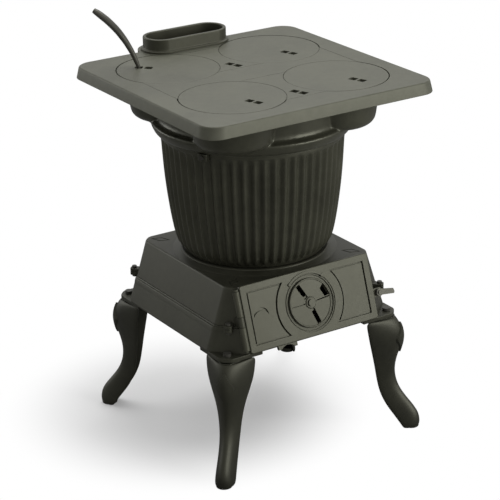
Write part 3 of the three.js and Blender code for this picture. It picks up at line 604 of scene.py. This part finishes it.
def oval(name, radius, z0, z1):
    # a cylinder pulled apart at its middle
    tool = disc(name, radius, z0, z1, (0, flueShape["y"]))
    edit(tool)
    for side in (-1, 1):
        pickPoints(tool, lambda place: place.x * side > 0.00001)
        bpy.ops.transform.translate(value=(side * flueShape["straight"], 0, 0))
    bpy.ops.mesh.select_all(action="SELECT")
    bpy.ops.mesh.dissolve_limited(angle_limit=math.radians(0.5))
    leaveEdit()
    return tool


def rimBlock(name, inset, z0, z1):
    half = plateShape["half"] - inset
    body = block(name, (-half, axisY - half, z0), (half, axisY + half, z1))
    return roundCorners(body, plateShape["corner"] - inset, 10, lambda a, b: abs(a.z - b.z) > mm)


def makePlate():
    shape = plateShape
    foot = topZ - shape["rim"]
    slabFoot = topZ - shape["slab"]
    plate = rimBlock("cookingTop", 0, foot, topZ)
    edit(plate)
    pickPoints(plate, lambda place: place.z < foot + mm / 2)
    spread = 1 + shape["flare"] / shape["half"]
    bpy.ops.transform.resize(value=(spread, spread, 1), center_override=(0, axisY, foot))
    leaveEdit()
    roundCorners(plate, shape["topEdge"], 4, lambda a, b: min(a.z, b.z) > topZ - mm / 10)
    roundCorners(plate, shape["footEdge"], 2, lambda a, b: max(a.z, b.z) < foot + mm / 10)
    cutAway(plate, rimBlock("rimHollow", shape["rimWall"], foot - beyond, slabFoot))
    tab = oval("flueTab", flueShape["tab"], slabFoot, topZ)
    fuse(plate, tab)
    seat = topZ - lidShape["seat"]
    tools = [disc("throat", shape["throat"], foot - beyond, topZ + beyond, (0, axisY), 128)]
    for place in lidPlaces.values():
        tools.append(disc("lobe", shape["lobe"], foot - beyond, topZ + beyond, place))
        tools.append(disc("pocket", lidShape["radius"] + lidShape["gap"], seat, topZ + beyond, place, 128))
    for size in ("long", "short"):
        halfX, halfY = shape[size + "HalfX"], shape[size + "HalfY"]
        tools.append(block(size + "Pocket", (-halfX, axisY - halfY, seat),
                           (halfX, axisY + halfY, topZ + beyond)))
    tools.append(oval("flueHole", flueShape["outer"] - flueShape["wall"], foot - beyond, topZ + beyond))
    half = duct["half"] + shape["ductSlack"]
    tools.append(block("ductRelief", (-half, axisY + shape["ductFront"], foot - beyond),
                       (half, axisY + shape["ductBack"], slabFoot)))
    return cutAway(plate, *tools)


def slotTool(x, y, heading, side):
    shape = slotShape
    along = side * shape["apart"]
    tool = block("slot", (along - shape["length"] / 2, -shape["width"] / 2, topZ - shape["depth"]),
                 (along + shape["length"] / 2, shape["width"] / 2, topZ + shape["depth"]))
    roundCorners(tool, shape["corner"], 3, lambda a, b: abs(a.z - b.z) > mm)
    return transformed(tool, placed(x, y, heading) @ placed(shape["reach"], 0))


def makeLid(node):
    shape = lidShape
    r, z, under = shape["radius"], topZ, topZ - shape["thickness"]
    e = shape["edge"]
    profile = [
        (r - e, under), (r, under + e), (r, z - e), (r - e * 0.3, z - e * 0.3), (r - e, z), (r - 3 * e, z)]
    lid = turned(node.replace("_", " ").title().replace(" ", ""), profile, lidPlaces[node], 128)
    x, y = lidPlaces[node]
    return cutAway(lid, *(slotTool(x, y, lidHeadings[node], side) for side in (-1, 1)))


plate = makePlate()
dress(plate, "root", litTopIron, ["top_plate"])
for node in lidPlaces:
    dress(makeLid(node), node, litTopIron, [node])
centrePieces = (
    ("long_center_piece", "longCenterPiece", "root"),
    ("short_center_front", "shortCenterFront", "center_front"),
    ("short_center_rear", "shortCenterRear", "center_rear"),
)
for node, name, body in centrePieces:
    dress(softCopy(node, name, plateShape["seamEdge"]), body, litTopIron, [node])
print("cooking top laid")


# flue collar
def makeFlueCollar():
    shape = flueShape
    low = topZ + shape["gap"]
    rim = topZ + shape["height"]
    outer, inner = shape["outer"], shape["outer"] - shape["wall"]
    spigot, bore = inner - shape["gap"], inner - shape["wall"]
    foot = topZ - plateShape["slab"]
    flange = outer + shape["flange"]
    profile = [
        (spigot, foot), (spigot, low), (flange, low), (flange, low + 3 * mm),
        (flange - 1.2 * mm, low + 4 * mm), (outer + 1.2 * mm, low + 4.4 * mm), (outer, low + 6 * mm),
        (outer, rim - 2 * mm), (outer - 0.7 * mm, rim - 0.6 * mm), (outer - 2.2 * mm, rim),
        (inner + 2 * mm, rim), (inner + 0.6 * mm, rim - 0.6 * mm), (inner, rim - 2 * mm),
        (inner, topZ + 6 * mm), (bore, topZ + 5 * mm), (bore, foot), (spigot, foot),
    ]
    collar = turned("flueCollarCasting", profile, (0, shape["y"]), 96)
    edit(collar)
    for side in (-1, 1):
        pickPoints(collar, lambda place: place.x * side > 0.00001)
        bpy.ops.transform.translate(value=(side * shape["straight"], 0, 0))
    leaveEdit()
    return collar


dress(makeFlueCollar(), "root", doorIron, ["flue_collar"], 50)
print("flue collar set")


# base: hood over pan, both leaning boxes with cut corners
baseShape = {
    "top": 378 * mm, "seam": 305 * mm, "foot": 252 * mm, "halfTop": 167 * mm, "halfFoot": 208.5 * mm,
    "panel": 152 * mm, "wall": 5 * mm, "round": 7 * mm, "gap": 0.3 * mm, "throat": 112 * mm,
    "doorwayHalf": 138 * mm, "doorwaySill": 266 * mm, "doorwayHead": 364 * mm, "doorwayOut": 0.26,
    "hoodDoorwayIn": 0.083, "panDoorwayIn": 0.08, "topEdge": 3 * mm, "footEdge": 1 * mm,
    "hollowPast": 5 * mm, "hollowLean": -3 * mm, "wide": 0.3,
}


def leanAt(height):
    shape = baseShape
    share = (height - shape["foot"]) / (shape["top"] - shape["foot"])
    return shape["halfFoot"] + (shape["halfTop"] - shape["halfFoot"]) * share


def leaningBox(name, z0, z1, grow, rounding, side=0.0):
    low = leanAt(z0) + grow
    high = leanAt(z1) + grow
    panel = baseShape["panel"] + side
    body = block(name, (-low, axisY - low, z0), (low, axisY + low, z1))
    roundCorners(body, low - panel, 1, lambda a, b: abs(a.z - b.z) > mm)
    edit(body)
    for sign in (-1, 1):
        pickPoints(body, lambda place: place.z > z1 - mm / 10 and place.x * sign > low - mm / 10)
        bpy.ops.transform.translate(value=(sign * (high - low), 0, 0))
        pickPoints(body, lambda place: place.z > z1 - mm / 10 and (place.y - axisY) * sign > low - mm / 10)
        bpy.ops.transform.translate(value=(0, sign * (high - low), 0))
    leaveEdit()
    if rounding:
        roundCorners(body, rounding, 4, lambda a, b: abs(a.z - b.z) > mm)
    return body


def edgeRound(piece, radius, height, segments=3):
    return roundCorners(
        piece, radius, segments, lambda a, b: max(abs(a.z - height), abs(b.z - height)) < mm / 10)


draftAside = 0.5 * mm  # from the door's middle to the draft's
draftRise = 6 * mm  # from the door's back to the joint's point
doorOut = Vector(jointOf["spinner_turn"]["axis"]).normalized()
doorUp = -Vector(jointOf["door_hinge"]["axis"]).normalized()
doorAcross = doorUp.cross(doorOut)
doorOrigin = Vector(jointOf["spinner_turn"]["pos_m"]) - doorAcross * draftAside - doorOut * draftRise
doorPlace = Matrix.Translation(doorOrigin) @ Matrix((doorAcross, doorUp, doorOut)).transposed().to_4x4()

hingeShape = {
    "x": -159 * mm, "z": 5 * mm, "radius": 6.5 * mm, "pin": 3.4 * mm, "foot": -12 * mm, "head": 8 * mm,
    "end": 58 * mm, "edge": 0.8 * mm, "gap": 0.3 * mm, "slack": 0.2 * mm, "boreHalf": 0.1,
    "earIn": 5 * mm, "earOut": 1.5 * mm, "earFoot": -16 * mm, "earTop": 5 * mm, "seamGap": 0.6 * mm,
}
hingePlace = (Matrix.Translation((hingeShape["x"], 0, hingeShape["z"]))
              @ Matrix.Rotation(math.radians(-90), 4, "X"))


def knuckle(name, low, high):
    # a barrel whose axis runs up the door
    shape = hingeShape
    barrel = disc(name, shape["radius"], low, high, (0, 0), 32)
    softenEdges(barrel, shape["edge"])
    return transformed(barrel, hingePlace)


def hingeBore(radius):
    half = hingeShape["boreHalf"]
    return transformed(disc("hingeBore", radius, -half, half, (0, 0), 24), hingePlace)


lugShape = {
    "near": 225 * mm, "far": 262 * mm, "half": 8 * mm, "depth": 7 * mm, "corner": 5 * mm, "edge": 0.8 * mm,
    "bolt": 254 * mm, "hole": 2.9 * mm,
}
corners = (0, 90, 180, 270)


def seamLug(turn, z0, z1):
    shape = lugShape
    half = shape["half"]
    lug = block("seamLug", (shape["near"], axisY - half, z0), (shape["far"], axisY + half, z1))
    roundTip(lug, shape["corner"], shape["far"])
    softenEdges(lug, shape["edge"])
    cutAway(lug, disc("lugHole", shape["hole"], z0 - beyond, z1 + beyond, (shape["bolt"], axisY), 16))
    return transformed(lug, turnedAbout(45 + turn))


collarShape = {
    "outside": ((112, 377), (166, 377), (165, 378.3), (160, 379.6), (152, 382), (149.8, 383),
                (149.4, 384.6), (148, 385.6), (146, 385.8), (144.4, 384.9), (143.6, 384), (112, 384)),
}
lozenge = {"middle": 196 * mm, "long": 20 * mm, "wide": 10 * mm, "line": 2.4 * mm, "depth": 1.0 * mm,
           "longShrink": 1.9, "wideShrink": 1.2}


def lozengeTool(turn):
    # a four-sided ring that is sunk into the hood's top
    tools = []
    for shrink in (0, lozenge["line"]):
        tool = disc("lozenge", 1, baseShape["top"] - lozenge["depth"], baseShape["top"] + beyond, (0, 0), 4)
        stretched(tool, (lozenge["long"] - shrink * lozenge["longShrink"],
                         lozenge["wide"] - shrink * lozenge["wideShrink"], 1))
        tools.append(tool)
    cutAway(*tools)
    place = turnedAbout(45 + turn) @ Matrix.Translation((lozenge["middle"], axisY, 0))
    return transformed(tools[0], place)


cornerRib = {
    "low": (-157.5, -188.5, 309), "high": (-154, -168.5, 373), "lowRadius": 4.2 * mm,
    "highRadius": 1.6 * mm, "lowRound": 0.6, "highRound": 0.4, "belly": 0.3, "swell": 1.5 * mm,
}


def makeHood():
    shape = baseShape
    low = shape["seam"] + shape["gap"]
    hood = leaningBox("baseHood", low, shape["top"], 0, shape["round"])
    edgeRound(hood, shape["topEdge"], shape["top"])
    edgeRound(hood, shape["footEdge"], low, 2)
    fuse(hood, turned("hoodCollar", scaled(collarShape["outside"]), (0, axisY), 128))
    for turn in corners:
        fuse(hood, seamLug(turn, low, low + lugShape["depth"]))
    hinge = hingeShape
    ear = block("hoodEar", (hinge["x"] - hinge["earIn"], hinge["foot"], hinge["earFoot"]),
                (hinge["x"] + hinge["earOut"], hinge["head"], hinge["earTop"]))
    fixed = fuse(knuckle("hoodKnuckle", hinge["foot"], hinge["head"]), ear)
    cutAway(fixed, hingeBore(hinge["pin"]))
    transformed(fixed, doorPlace)
    wide = shape["wide"]
    cutAway(fixed, block("belowSeam", (-wide, -wide, 0), (wide, wide, low + hinge["seamGap"])))
    fuse(hood, fixed)
    tools = [
        leaningBox("hoodHollow", low - shape["hollowPast"], shape["top"] - shape["wall"],
                   -shape["wall"] - mm, 0, shape["hollowLean"]),
        disc("throat", shape["throat"], low, shape["top"] + 0.05, (0, axisY), 96),
        block("doorway", (-shape["doorwayHalf"], axisY - shape["doorwayOut"], low - 2 * beyond),
              (shape["doorwayHalf"], axisY - shape["hoodDoorwayIn"], shape["doorwayHead"])),
    ]
    return cutAway(hood, *tools, *(lozengeTool(turn) for turn in corners))


def makeCornerRib():
    shape = cornerRib
    low, high = (Vector((x * mm, y * mm + axisY, z * mm)) for x, y, z in (shape["low"], shape["high"]))
    length = (high - low).length
    thick, thin = shape["lowRadius"], shape["highRadius"]
    profile = [
        (shape["lowRound"] * thick, 0), (thick, shape["swell"]), (thick, length * shape["belly"]),
        (thin, length - mm), (shape["highRound"] * thin, length),
    ]
    rib = turned("hoodCornerRib", profile, (0, 0), 24)
    turn = (high - low).to_track_quat("Z", "Y").to_matrix().to_4x4()
    return transformed(rib, Matrix.Translation(low) @ turn)


panShape = {
    "bandFoot": 293.5 * mm, "bandTop": 302.5 * mm, "bandStep": 3.0 * mm, "bandSink": 0.4 * mm,
    "panelStep": 2.3 * mm, "skirt": 4 * mm, "panelEdge": 0.9 * mm, "bandEdge": 1.6 * mm,
    "jointStep": 0.2 * mm, "jointEdge": 0.6 * mm,
    "earFoot": 246 * mm, "earTop": 254 * mm, "earRoot": 120 * mm, "earFar": 283 * mm, "earRound": 6 * mm,
    "earEdge": 1.2 * mm, "bolt": 268 * mm, "hole": 3.9 * mm, "holeFoot": 0.2, "holeTop": 0.28,
}


def panEar(turn):
    # a square corner plate with a blunt nose
    shape = panShape
    side = baseShape["halfFoot"]
    ear = block("panEar", (shape["earRoot"], axisY + shape["earRoot"], shape["earFoot"]),
                (side, axisY + side, shape["earTop"]))
    roundCorners(ear, 2 * side - shape["earFar"] * math.sqrt(2), 1,
                 lambda a, b: min(a.x, b.x) > side - mm and min(a.y, b.y) - axisY > side - mm)
    inner = side + shape["earRoot"] + mm
    roundCorners(ear, shape["earRound"], 4,
                 lambda a, b: abs(a.z - b.z) > mm and min(a.x + a.y - axisY, b.x + b.y - axisY) > inner)
    softenEdges(ear, shape["earEdge"])
    return transformed(ear, turnedAbout(turn))


def makePan():
    shape, extra = baseShape, panShape
    panel = leaningBox("basePan", shape["foot"], extra["bandFoot"] + mm, extra["panelStep"], shape["round"])
    edgeRound(panel, extra["skirt"], shape["foot"])
    edgeRound(panel, extra["panelEdge"], extra["bandFoot"] + mm, 2)
    bandFoot = extra["bandFoot"] - extra["bandSink"]
    band = leaningBox("panBand", bandFoot, extra["bandTop"], extra["bandStep"], shape["round"])
    edgeRound(band, extra["bandEdge"], extra["bandTop"])
    edgeRound(band, extra["panelEdge"], bandFoot, 2)
    joint = leaningBox("panJoint", extra["bandFoot"], shape["seam"], extra["jointStep"], shape["round"])
    edgeRound(joint, extra["jointEdge"], shape["seam"], 1)
    fuse(panel, band, joint)
    for turn in corners:
        fuse(panel, seamLug(turn, shape["seam"] - lugShape["depth"], shape["seam"]))
    tools = [
        leaningBox("panHollow", shape["foot"] + shape["wall"], shape["seam"] + shape["hollowPast"],
                   -shape["wall"] - mm, 0, shape["hollowLean"]),
        block("doorway", (-shape["doorwayHalf"], axisY - shape["doorwayOut"], shape["doorwaySill"]),
              (shape["doorwayHalf"], axisY - shape["panDoorwayIn"], shape["top"])),
    ]
    cutAway(panel, *tools)
    for turn in corners:
        fuse(panel, panEar(turn))
        hole = disc("earHole", extra["hole"], extra["holeFoot"], extra["holeTop"], (extra["bolt"], axisY), 16)
        cutAway(panel, transformed(hole, turnedAbout(45 + turn)))
    return panel


hood = makeHood()
dress(hood, "root", baseIron, ["base_hood"], 40)
dress(makeCornerRib(), "root", baseIron)
dress(makePan(), "root", baseIron, ["base_pan"], 40)
print("base cast")


# legs: a ridged channel, open at the back
legShape = {
    "height": 244, "root": 236, "reach": 341, "width": 98, "wall": 5.5 * mm,
    # height, ridge, inner edge, width, rounding: each a share of the whole, from the floor up
    "curve": (
        (0, 0.962, 0.686, 0.40, 1), (0.033, 1.01, 0.648, 0.435, 1), (0.123, 1, 0.495, 0.42, 0.9),
        (0.213, 0.848, 0.333, 0.415, 0.75), (0.328, 0.61, 0.21, 0.435, 0.62),
        (0.443, 0.508, 0.162, 0.49, 0.55), (0.549, 0.5, 0.133, 0.57, 0.5),
        (0.648, 0.557, 0.105, 0.70, 0.45), (0.746, 0.65, 0.076, 0.86, 0.4),
        (0.844, 0.68, 0.048, 0.99, 0.36), (0.934, 0.612, 0.019, 1.03, 0.34), (1, 0.50, 0, 1.04, 0.3)),
    "across": (0, 0.28, 0.55, 0.8, 1),
    "cap": 9 * mm, "capNear": 238 * mm, "capFar": 284 * mm, "capHalf": 42 * mm, "capTaper": 0.2,
    "capGap": 0.2 * mm, "capEdge": 1 * mm,
    "sole": 16.15 * mm, "soleTop": 10 * mm, "soleAt": 321 * mm, "soleEdge": 2.5 * mm,
}
diamondShape = {
    "z": 198 * mm, "half": 19 * mm, "rise": 33 * mm, "proud": 3.8 * mm, "at": 0.32, "through": 0.1,
    "corner": 5 * mm, "edge": 0.6 * mm,
}


def legPoint(level, share):
    # share runs from -1 at one edge over 0 at the ridge to 1 at the other edge
    shape = legShape
    height, ridge, inner, width, rounding = level
    s0 = shape["root"] + (shape["reach"] - shape["root"]) * inner
    s1 = shape["root"] + (shape["reach"] - shape["root"]) * ridge
    out = 1 - abs(share)
    spread = (1 - rounding) * (1 - out) + rounding * math.sqrt(max(0.0, 1 - out * out))
    side = 1 if share > 0 else -1
    y = side * shape["width"] * width / 2 * spread * mm + axisY
    return Vector(((s0 + (s1 - s0) * out) * mm, y, shape["height"] * height * mm))


def makeLegSkin(name):
    # a grid whose points are carried, one by one, to the leg's outside
    shape = legShape
    half = shape["across"][:-1]
    across = [share - 1 for share in half] + [0] + [1 - share for share in reversed(half)]
    rows = len(shape["curve"])
    clearSelection()
    bpy.ops.mesh.primitive_grid_add(x_subdivisions=len(across) - 1, y_subdivisions=rows - 1, size=1)
    leg = settle(name)
    edit(leg)
    spots = {}
    for row, level in enumerate(shape["curve"]):
        for column, share in enumerate(across):
            spot = (round(column / (len(across) - 1) - 0.5, 3), round(row / (rows - 1) - 0.5, 3))
            spots[spot] = legPoint(level, share)
    mesh = bmesh.from_edit_mesh(leg.data)
    starts = [(point.index, point.co.copy()) for point in mesh.verts]
    for index, start in starts:
        mesh = bmesh.from_edit_mesh(leg.data)
        for point in mesh.verts:
            point.select = point.index == index
        mesh.select_flush_mode()
        bmesh.update_edit_mesh(leg.data)
        bpy.ops.transform.translate(value=spots[(round(start.x, 3), round(start.y, 3))] - start)
    bpy.ops.mesh.select_all(action="SELECT")
    bpy.ops.mesh.normals_make_consistent(inside=False)
    mesh = bmesh.from_edit_mesh(leg.data)
    if sum(face.normal.x for face in mesh.faces) < 0:
        bpy.ops.mesh.flip_normals()
    leaveEdit()
    return leg


def makeLeg():
    skin = makeLegSkin("legCasting")
    stone = makeDiamond(duplicate(skin, "legDiamond"))
    useModifier(skin, "SOLIDIFY", thickness=legShape["wall"], offset=-1)
    useModifier(skin, "SUBSURF", levels=2, render_levels=2)
    return gather("legCasting", skin, makeLegCap(), makeLegSole(), stone)


def makeDiamond(skin):
    # the skin stood off a little and cut to a four-sided outline
    shape = diamondShape
    useModifier(skin, "SOLIDIFY", thickness=2 * shape["proud"], offset=0)
    useModifier(skin, "SUBSURF", levels=3, render_levels=3)
    outline = disc("diamondOutline", 1, -shape["through"], shape["through"], (0, 0), 4)
    stretched(outline, (shape["half"], shape["rise"], 1))
    roundCorners(outline, shape["corner"], 3,
                 lambda a, b: abs(a.z - b.z) > mm and abs(a.x) > shape["half"] / 2)
    turn = Matrix(((0, 0, 1, 0), (1, 0, 0, 0), (0, 1, 0, 0), (0, 0, 0, 1)))  # upright, facing outwards
    transformed(outline, Matrix.Translation((shape["at"], axisY, shape["z"])) @ turn)
    useModifier(skin, "BOOLEAN", operation="INTERSECT", solver="EXACT", object=outline)
    bpy.data.objects.remove(outline)
    return softenEdges(skin, shape["edge"], 2, 50)


def makeLegCap():
    shape = legShape
    top = shape["height"] * mm
    cap = block("legCap", (shape["capNear"], axisY - shape["capHalf"], top - shape["cap"]),
                (shape["capFar"], axisY + shape["capHalf"], top - shape["capGap"]))
    edit(cap)
    pickPoints(cap, lambda place: place.x > shape["capFar"] - mm)
    bpy.ops.transform.resize(value=(1, shape["capTaper"], 1), center_override=(0, axisY, 0))
    leaveEdit()
    return softenEdges(cap, shape["capEdge"])


def makeLegSole():
    shape = legShape
    sole = disc("legSole", shape["sole"], 0, shape["soleTop"], (shape["soleAt"], axisY), 32)
    return softenEdges(sole, shape["soleEdge"])


leg = makeLeg()
for corner, turn in (("rear_right", 45), ("rear_left", 135), ("front_left", 225), ("front_right", 315)):
    copy = duplicate(leg, "leg" + corner.title().replace("_", ""))
    transformed(copy, turnedAbout(turn))
    dress(copy, "root", shadedLegIron, ["leg_" + corner], 40)
bpy.data.objects.remove(leg)
print("legs set")


# draft door, made flat in its own frame
clear = 0.02  # higher than anything on the door
doorShape = {
    "halfX": 151 * mm, "halfY": 66.5 * mm, "plate": 4 * mm, "face": 6.6 * mm, "corner": 5 * mm,
    "edge": 2 * mm, "border": 14 * mm, "arc": 76 * mm, "middle": draftAside, "dish": 54 * mm,
    "groove": 2.9 * mm, "grooveFoot": 2.2 * mm, "grooveEdge": 0.45 * mm,
    "insert": 5.5 * mm, "insertSink": 0.5 * mm, "insertEdge": 0.7 * mm,
    "ringInner": 55.6 * mm, "ringOuter": 58 * mm, "ringStep": 0.9 * mm,
    "trackInner": 57.6 * mm, "trackOuter": 62.2 * mm, "trackFrom": 52, "trackTo": 132,
    "trackTop": 8.3 * mm, "trackEdge": 0.7 * mm, "stop": 3.6 * mm, "stopRise": 0.6 * mm,
    "stopEdge": 0.8 * mm, "windowInner": 17, "windowOuter": 44, "windowSpan": 42,
    "windowTurns": (22, 112, 202, 292), "rivetHole": 4.4 * mm,
}
latchSpot = {
    "x": 162 * mm, "y": -17 * mm, "hole": 2.9 * mm, "near": 145 * mm, "far": 171 * mm, "low": -26 * mm,
    "high": -8 * mm, "top": 4 * mm, "corner": 4 * mm, "edge": 0.8 * mm,
}
strapShape = {"end": -140 * mm, "inset": 4 * mm, "foot": 0.2 * mm, "top": 3.8 * mm, "edge": 0.8 * mm}


def turnedOnDraft(angle):
    return placed(doorShape["middle"], 0, angle)


def panelTool(inset, z0, z1):
    shape = doorShape
    halfX = shape["halfX"] - shape["border"] - inset
    halfY = shape["halfY"] - shape["border"] - inset
    tool = block("panels", (-halfX, -halfY, z0), (halfX, halfY, z1))
    arc = disc("draftArc", shape["arc"] + inset, z0 - beyond, z1 + beyond, (shape["middle"], 0), 128)
    return cutAway(tool, arc)


def ringTool(name, inner, outer, z0, z1):
    ring = disc(name, outer, z0, z1, (doorShape["middle"], 0), 96)
    return cutAway(ring, disc("ringCore", inner, z0 - beyond, z1 + beyond, (doorShape["middle"], 0), 96))


def windowTool(middle, span, inner, outer):
    # a slot that widens outwards, between two radii
    tool = block("window", (inner * mm, -1, -beyond), (outer * mm, 1, clear))
    edit(tool)
    for far, radius in ((False, inner), (True, outer)):
        pickPoints(tool, lambda place: (place.x > (inner + outer) * mm / 2) == far)
        half = radius * math.sin(math.radians(span / 2)) * mm
        bpy.ops.transform.resize(value=(1, half, 1), center_override=(0, 0, 0))
    leaveEdit()
    return transformed(tool, turnedOnDraft(middle))


def makeTrack():
    shape = doorShape
    foot, top = shape["plate"], shape["trackTop"]
    track = ringTool("draftTrack", shape["trackInner"], shape["trackOuter"], foot, top)
    tools = []
    for angle, side in ((shape["trackFrom"], -1), (shape["trackTo"], 1)):
        low, high = sorted((0, side * 0.1))
        tool = block("half", (-0.1, low, -beyond), (0.1, high, clear))
        tools.append(transformed(tool, turnedOnDraft(angle)))
    cutAway(track, *tools)
    softenEdges(track, shape["trackEdge"])
    stops = []
    for angle in (shape["trackFrom"], shape["trackTo"]):
        radius = (shape["trackInner"] + shape["trackOuter"]) / 2
        turn = math.radians(angle)
        spot = (shape["middle"] + radius * math.cos(turn), radius * math.sin(turn))
        stop = disc("trackStop", shape["stop"], foot, top + shape["stopRise"], spot, 24)
        stops.append(softenEdges(stop, shape["stopEdge"]))
    return gather("draftTrack", track, *stops)


def makeDoor():
    shape = doorShape
    centre = (shape["middle"], 0)
    door = block("draftDoor", (-shape["halfX"], -shape["halfY"], 0),
                 (shape["halfX"], shape["halfY"], shape["face"]))
    roundCorners(door, shape["corner"], 4, lambda a, b: abs(a.z - b.z) > mm)
    edgeRound(door, shape["edge"], shape["face"])
    cutAway(door, panelTool(0, shape["grooveFoot"], clear),
            disc("dish", shape["dish"], shape["plate"], clear, centre, 128),
            ringTool("ringGroove", shape["ringInner"], shape["ringOuter"],
                     shape["plate"] + shape["ringStep"], clear))
    softenEdges(door, shape["grooveEdge"], 2, 40)
    for turn in shape["windowTurns"]:
        cutAway(door, windowTool(turn, shape["windowSpan"], shape["windowInner"], shape["windowOuter"]))
    cutAway(door, disc("rivetHole", shape["rivetHole"], -beyond, clear, centre, 24))
    insert = panelTool(shape["groove"], shape["grooveFoot"] - shape["insertSink"], shape["insert"])
    cutAway(insert, makeScoop())
    softenEdges(insert, shape["insertEdge"], 2, 40)
    parts = [door, insert, makeTrack(), makeLatchLug()]
    hinge = hingeShape
    lower = (-hinge["end"], hinge["foot"] - hinge["gap"])
    upper = (hinge["head"] + hinge["gap"], hinge["end"])
    for low, high in (lower, upper):
        strap = block("strap", (hinge["x"], low + strapShape["inset"], strapShape["foot"]),
                      (strapShape["end"], high - strapShape["inset"], strapShape["top"]))
        softenEdges(strap, strapShape["edge"])
        barrel = fuse(knuckle("doorBarrel", low, high), strap)
        parts.append(cutAway(barrel, hingeBore(hinge["pin"] + hinge["slack"])))
    parts.append(makeFoot())
    return transformed(gather("draftDoor", *parts), doorPlace)


def makeLatchLug():
    spot = latchSpot
    lug = block("latchLug", (spot["near"], spot["low"], 0), (spot["far"], spot["high"], spot["top"]))
    roundTip(lug, spot["corner"], spot["far"], 3)
    softenEdges(lug, spot["edge"])
    return cutAway(lug, disc("latchHole", spot["hole"], -beyond, clear, (spot["x"], spot["y"]), 16))


scoop = {"x": -112.5 * mm, "y": 0, "radius": 17 * mm, "lower": 19 * mm, "drop": 8.5 * mm, "depth": 2.8 * mm}


def makeScoop():
    floor = doorShape["insert"] - scoop["depth"]
    crescent = disc("scoop", scoop["radius"], floor, clear, (scoop["x"], scoop["y"]), 48)
    lower = disc("scoopLow", scoop["lower"], floor - beyond, clear + beyond,
                 (scoop["x"], scoop["y"] - scoop["drop"]), 48)
    return cutAway(crescent, lower)


toeShape = {
    "near": -88 * mm, "far": -44 * mm, "middle": -66 * mm, "drop": 8 * mm, "root": 3 * mm,
    "foot": 0.5 * mm, "top": 4 * mm, "arch": 19 * mm, "archDrop": 15 * mm, "archSquash": (0.9, 0.72, 1),
    "edge": 0.6 * mm,
}


def makeFoot():
    # two short toes with a web between them, under the door's edge
    shape = toeShape
    low = -doorShape["halfY"]
    web = block("doorToes", (shape["near"], low - shape["drop"], shape["foot"]),
                (shape["far"], low + shape["root"], shape["top"]))
    archY = low - shape["archDrop"]
    arch = disc("toeArch", shape["arch"], -beyond, clear, (shape["middle"], archY), 48)
    stretched(arch, shape["archSquash"], (shape["middle"], archY, 0))
    return softenEdges(cutAway(web, arch), shape["edge"])


dress(makeDoor(), "door", doorIron, ["draft_door"], 35)
print("door hung")


# spinner over the draft
spinnerShape = {
    "foot": 4.3 * mm, "top": 7.3 * mm, "rimTop": 8.7 * mm, "radius": 49 * mm, "rim": 45.4 * mm,
    "hub": 12 * mm, "hubTop": 9.2 * mm, "hole": 4.4 * mm, "edge": 0.35 * mm,
    "bandFrom": 12.5 * mm, "bandTo": 44.5 * mm,
    "bands": ((118, 9.5 * mm, 2.4 * mm), (-71, 9.5 * mm, -2.4 * mm), (5, 2.2 * mm, 0), (181, 1.8 * mm, 0)),
    "window": (25, 34, 33, 45.3),
}


def bandTool(angle, width, shift):
    shape = spinnerShape
    tool = block("band", (shape["bandFrom"], shift - width / 2, -beyond),
                 (shape["bandTo"], shift + width / 2, clear))
    return transformed(tool, turnedOnDraft(angle))


def makeSpinner():
    shape = spinnerShape
    foot, top, rimTop, hubTop = shape["foot"], shape["top"], shape["rimTop"], shape["hubTop"]
    radius, rim, hub, hole = shape["radius"], shape["rim"], shape["hub"], shape["hole"]
    profile = [
        (hole, foot), (radius - 0.6 * mm, foot), (radius, foot + 0.8 * mm), (radius, rimTop - 1.2 * mm),
        (radius - 1.2 * mm, rimTop), (rim + 0.8 * mm, rimTop), (rim, rimTop - 0.8 * mm), (rim, top),
        (hub, top), (hub - 0.6 * mm, hubTop - 0.7 * mm), (hub - 1.6 * mm, hubTop),
        (hole + 2.6 * mm, hubTop), (hole + 1.6 * mm, hubTop - mm), (hole, hubTop - 1.2 * mm), (hole, foot),
    ]
    disk = turned("draftSpinner", profile, (doorShape["middle"], 0), 96)
    tools = [bandTool(*band) for band in shape["bands"]]
    cutAway(disk, *tools, windowTool(*shape["window"]))
    return transformed(softenEdges(disk, shape["edge"], 2, 50), doorPlace)


dress(makeSpinner(), "spinner", doorIron, ["draft_spinner"], 35)
print("spinner fitted")


# small castings and bolts
castEdges = {"latch": 1.4 * mm, "lifter": 0.8 * mm}
latch = softCopy("door_latch", "doorLatch", castEdges["latch"], 3, False)
dress(latch, "latch", boltIron, ["door_latch"], 50)
lifter = softCopy("lid_lifter", "lidLifter", castEdges["lifter"], 2, False)
useModifier(lifter, "SUBSURF", levels=1, render_levels=1)
dress(lifter, "lifter", boltIron, ["lid_lifter"], 70)

plainNodes = {"grate": potIron, "draft_rivet": doorIron, "hinge_pin": potIron}
for name, solid in nodes.items():
    if "bolt" in name or "pin" in name:
        plainNodes.setdefault(name, boltIron)
for name, material in plainNodes.items():
    slotHere = nodes[name].material_slots[0]
    slotHere.link = "OBJECT"
    slotHere.material = material
print("bolts blackened")
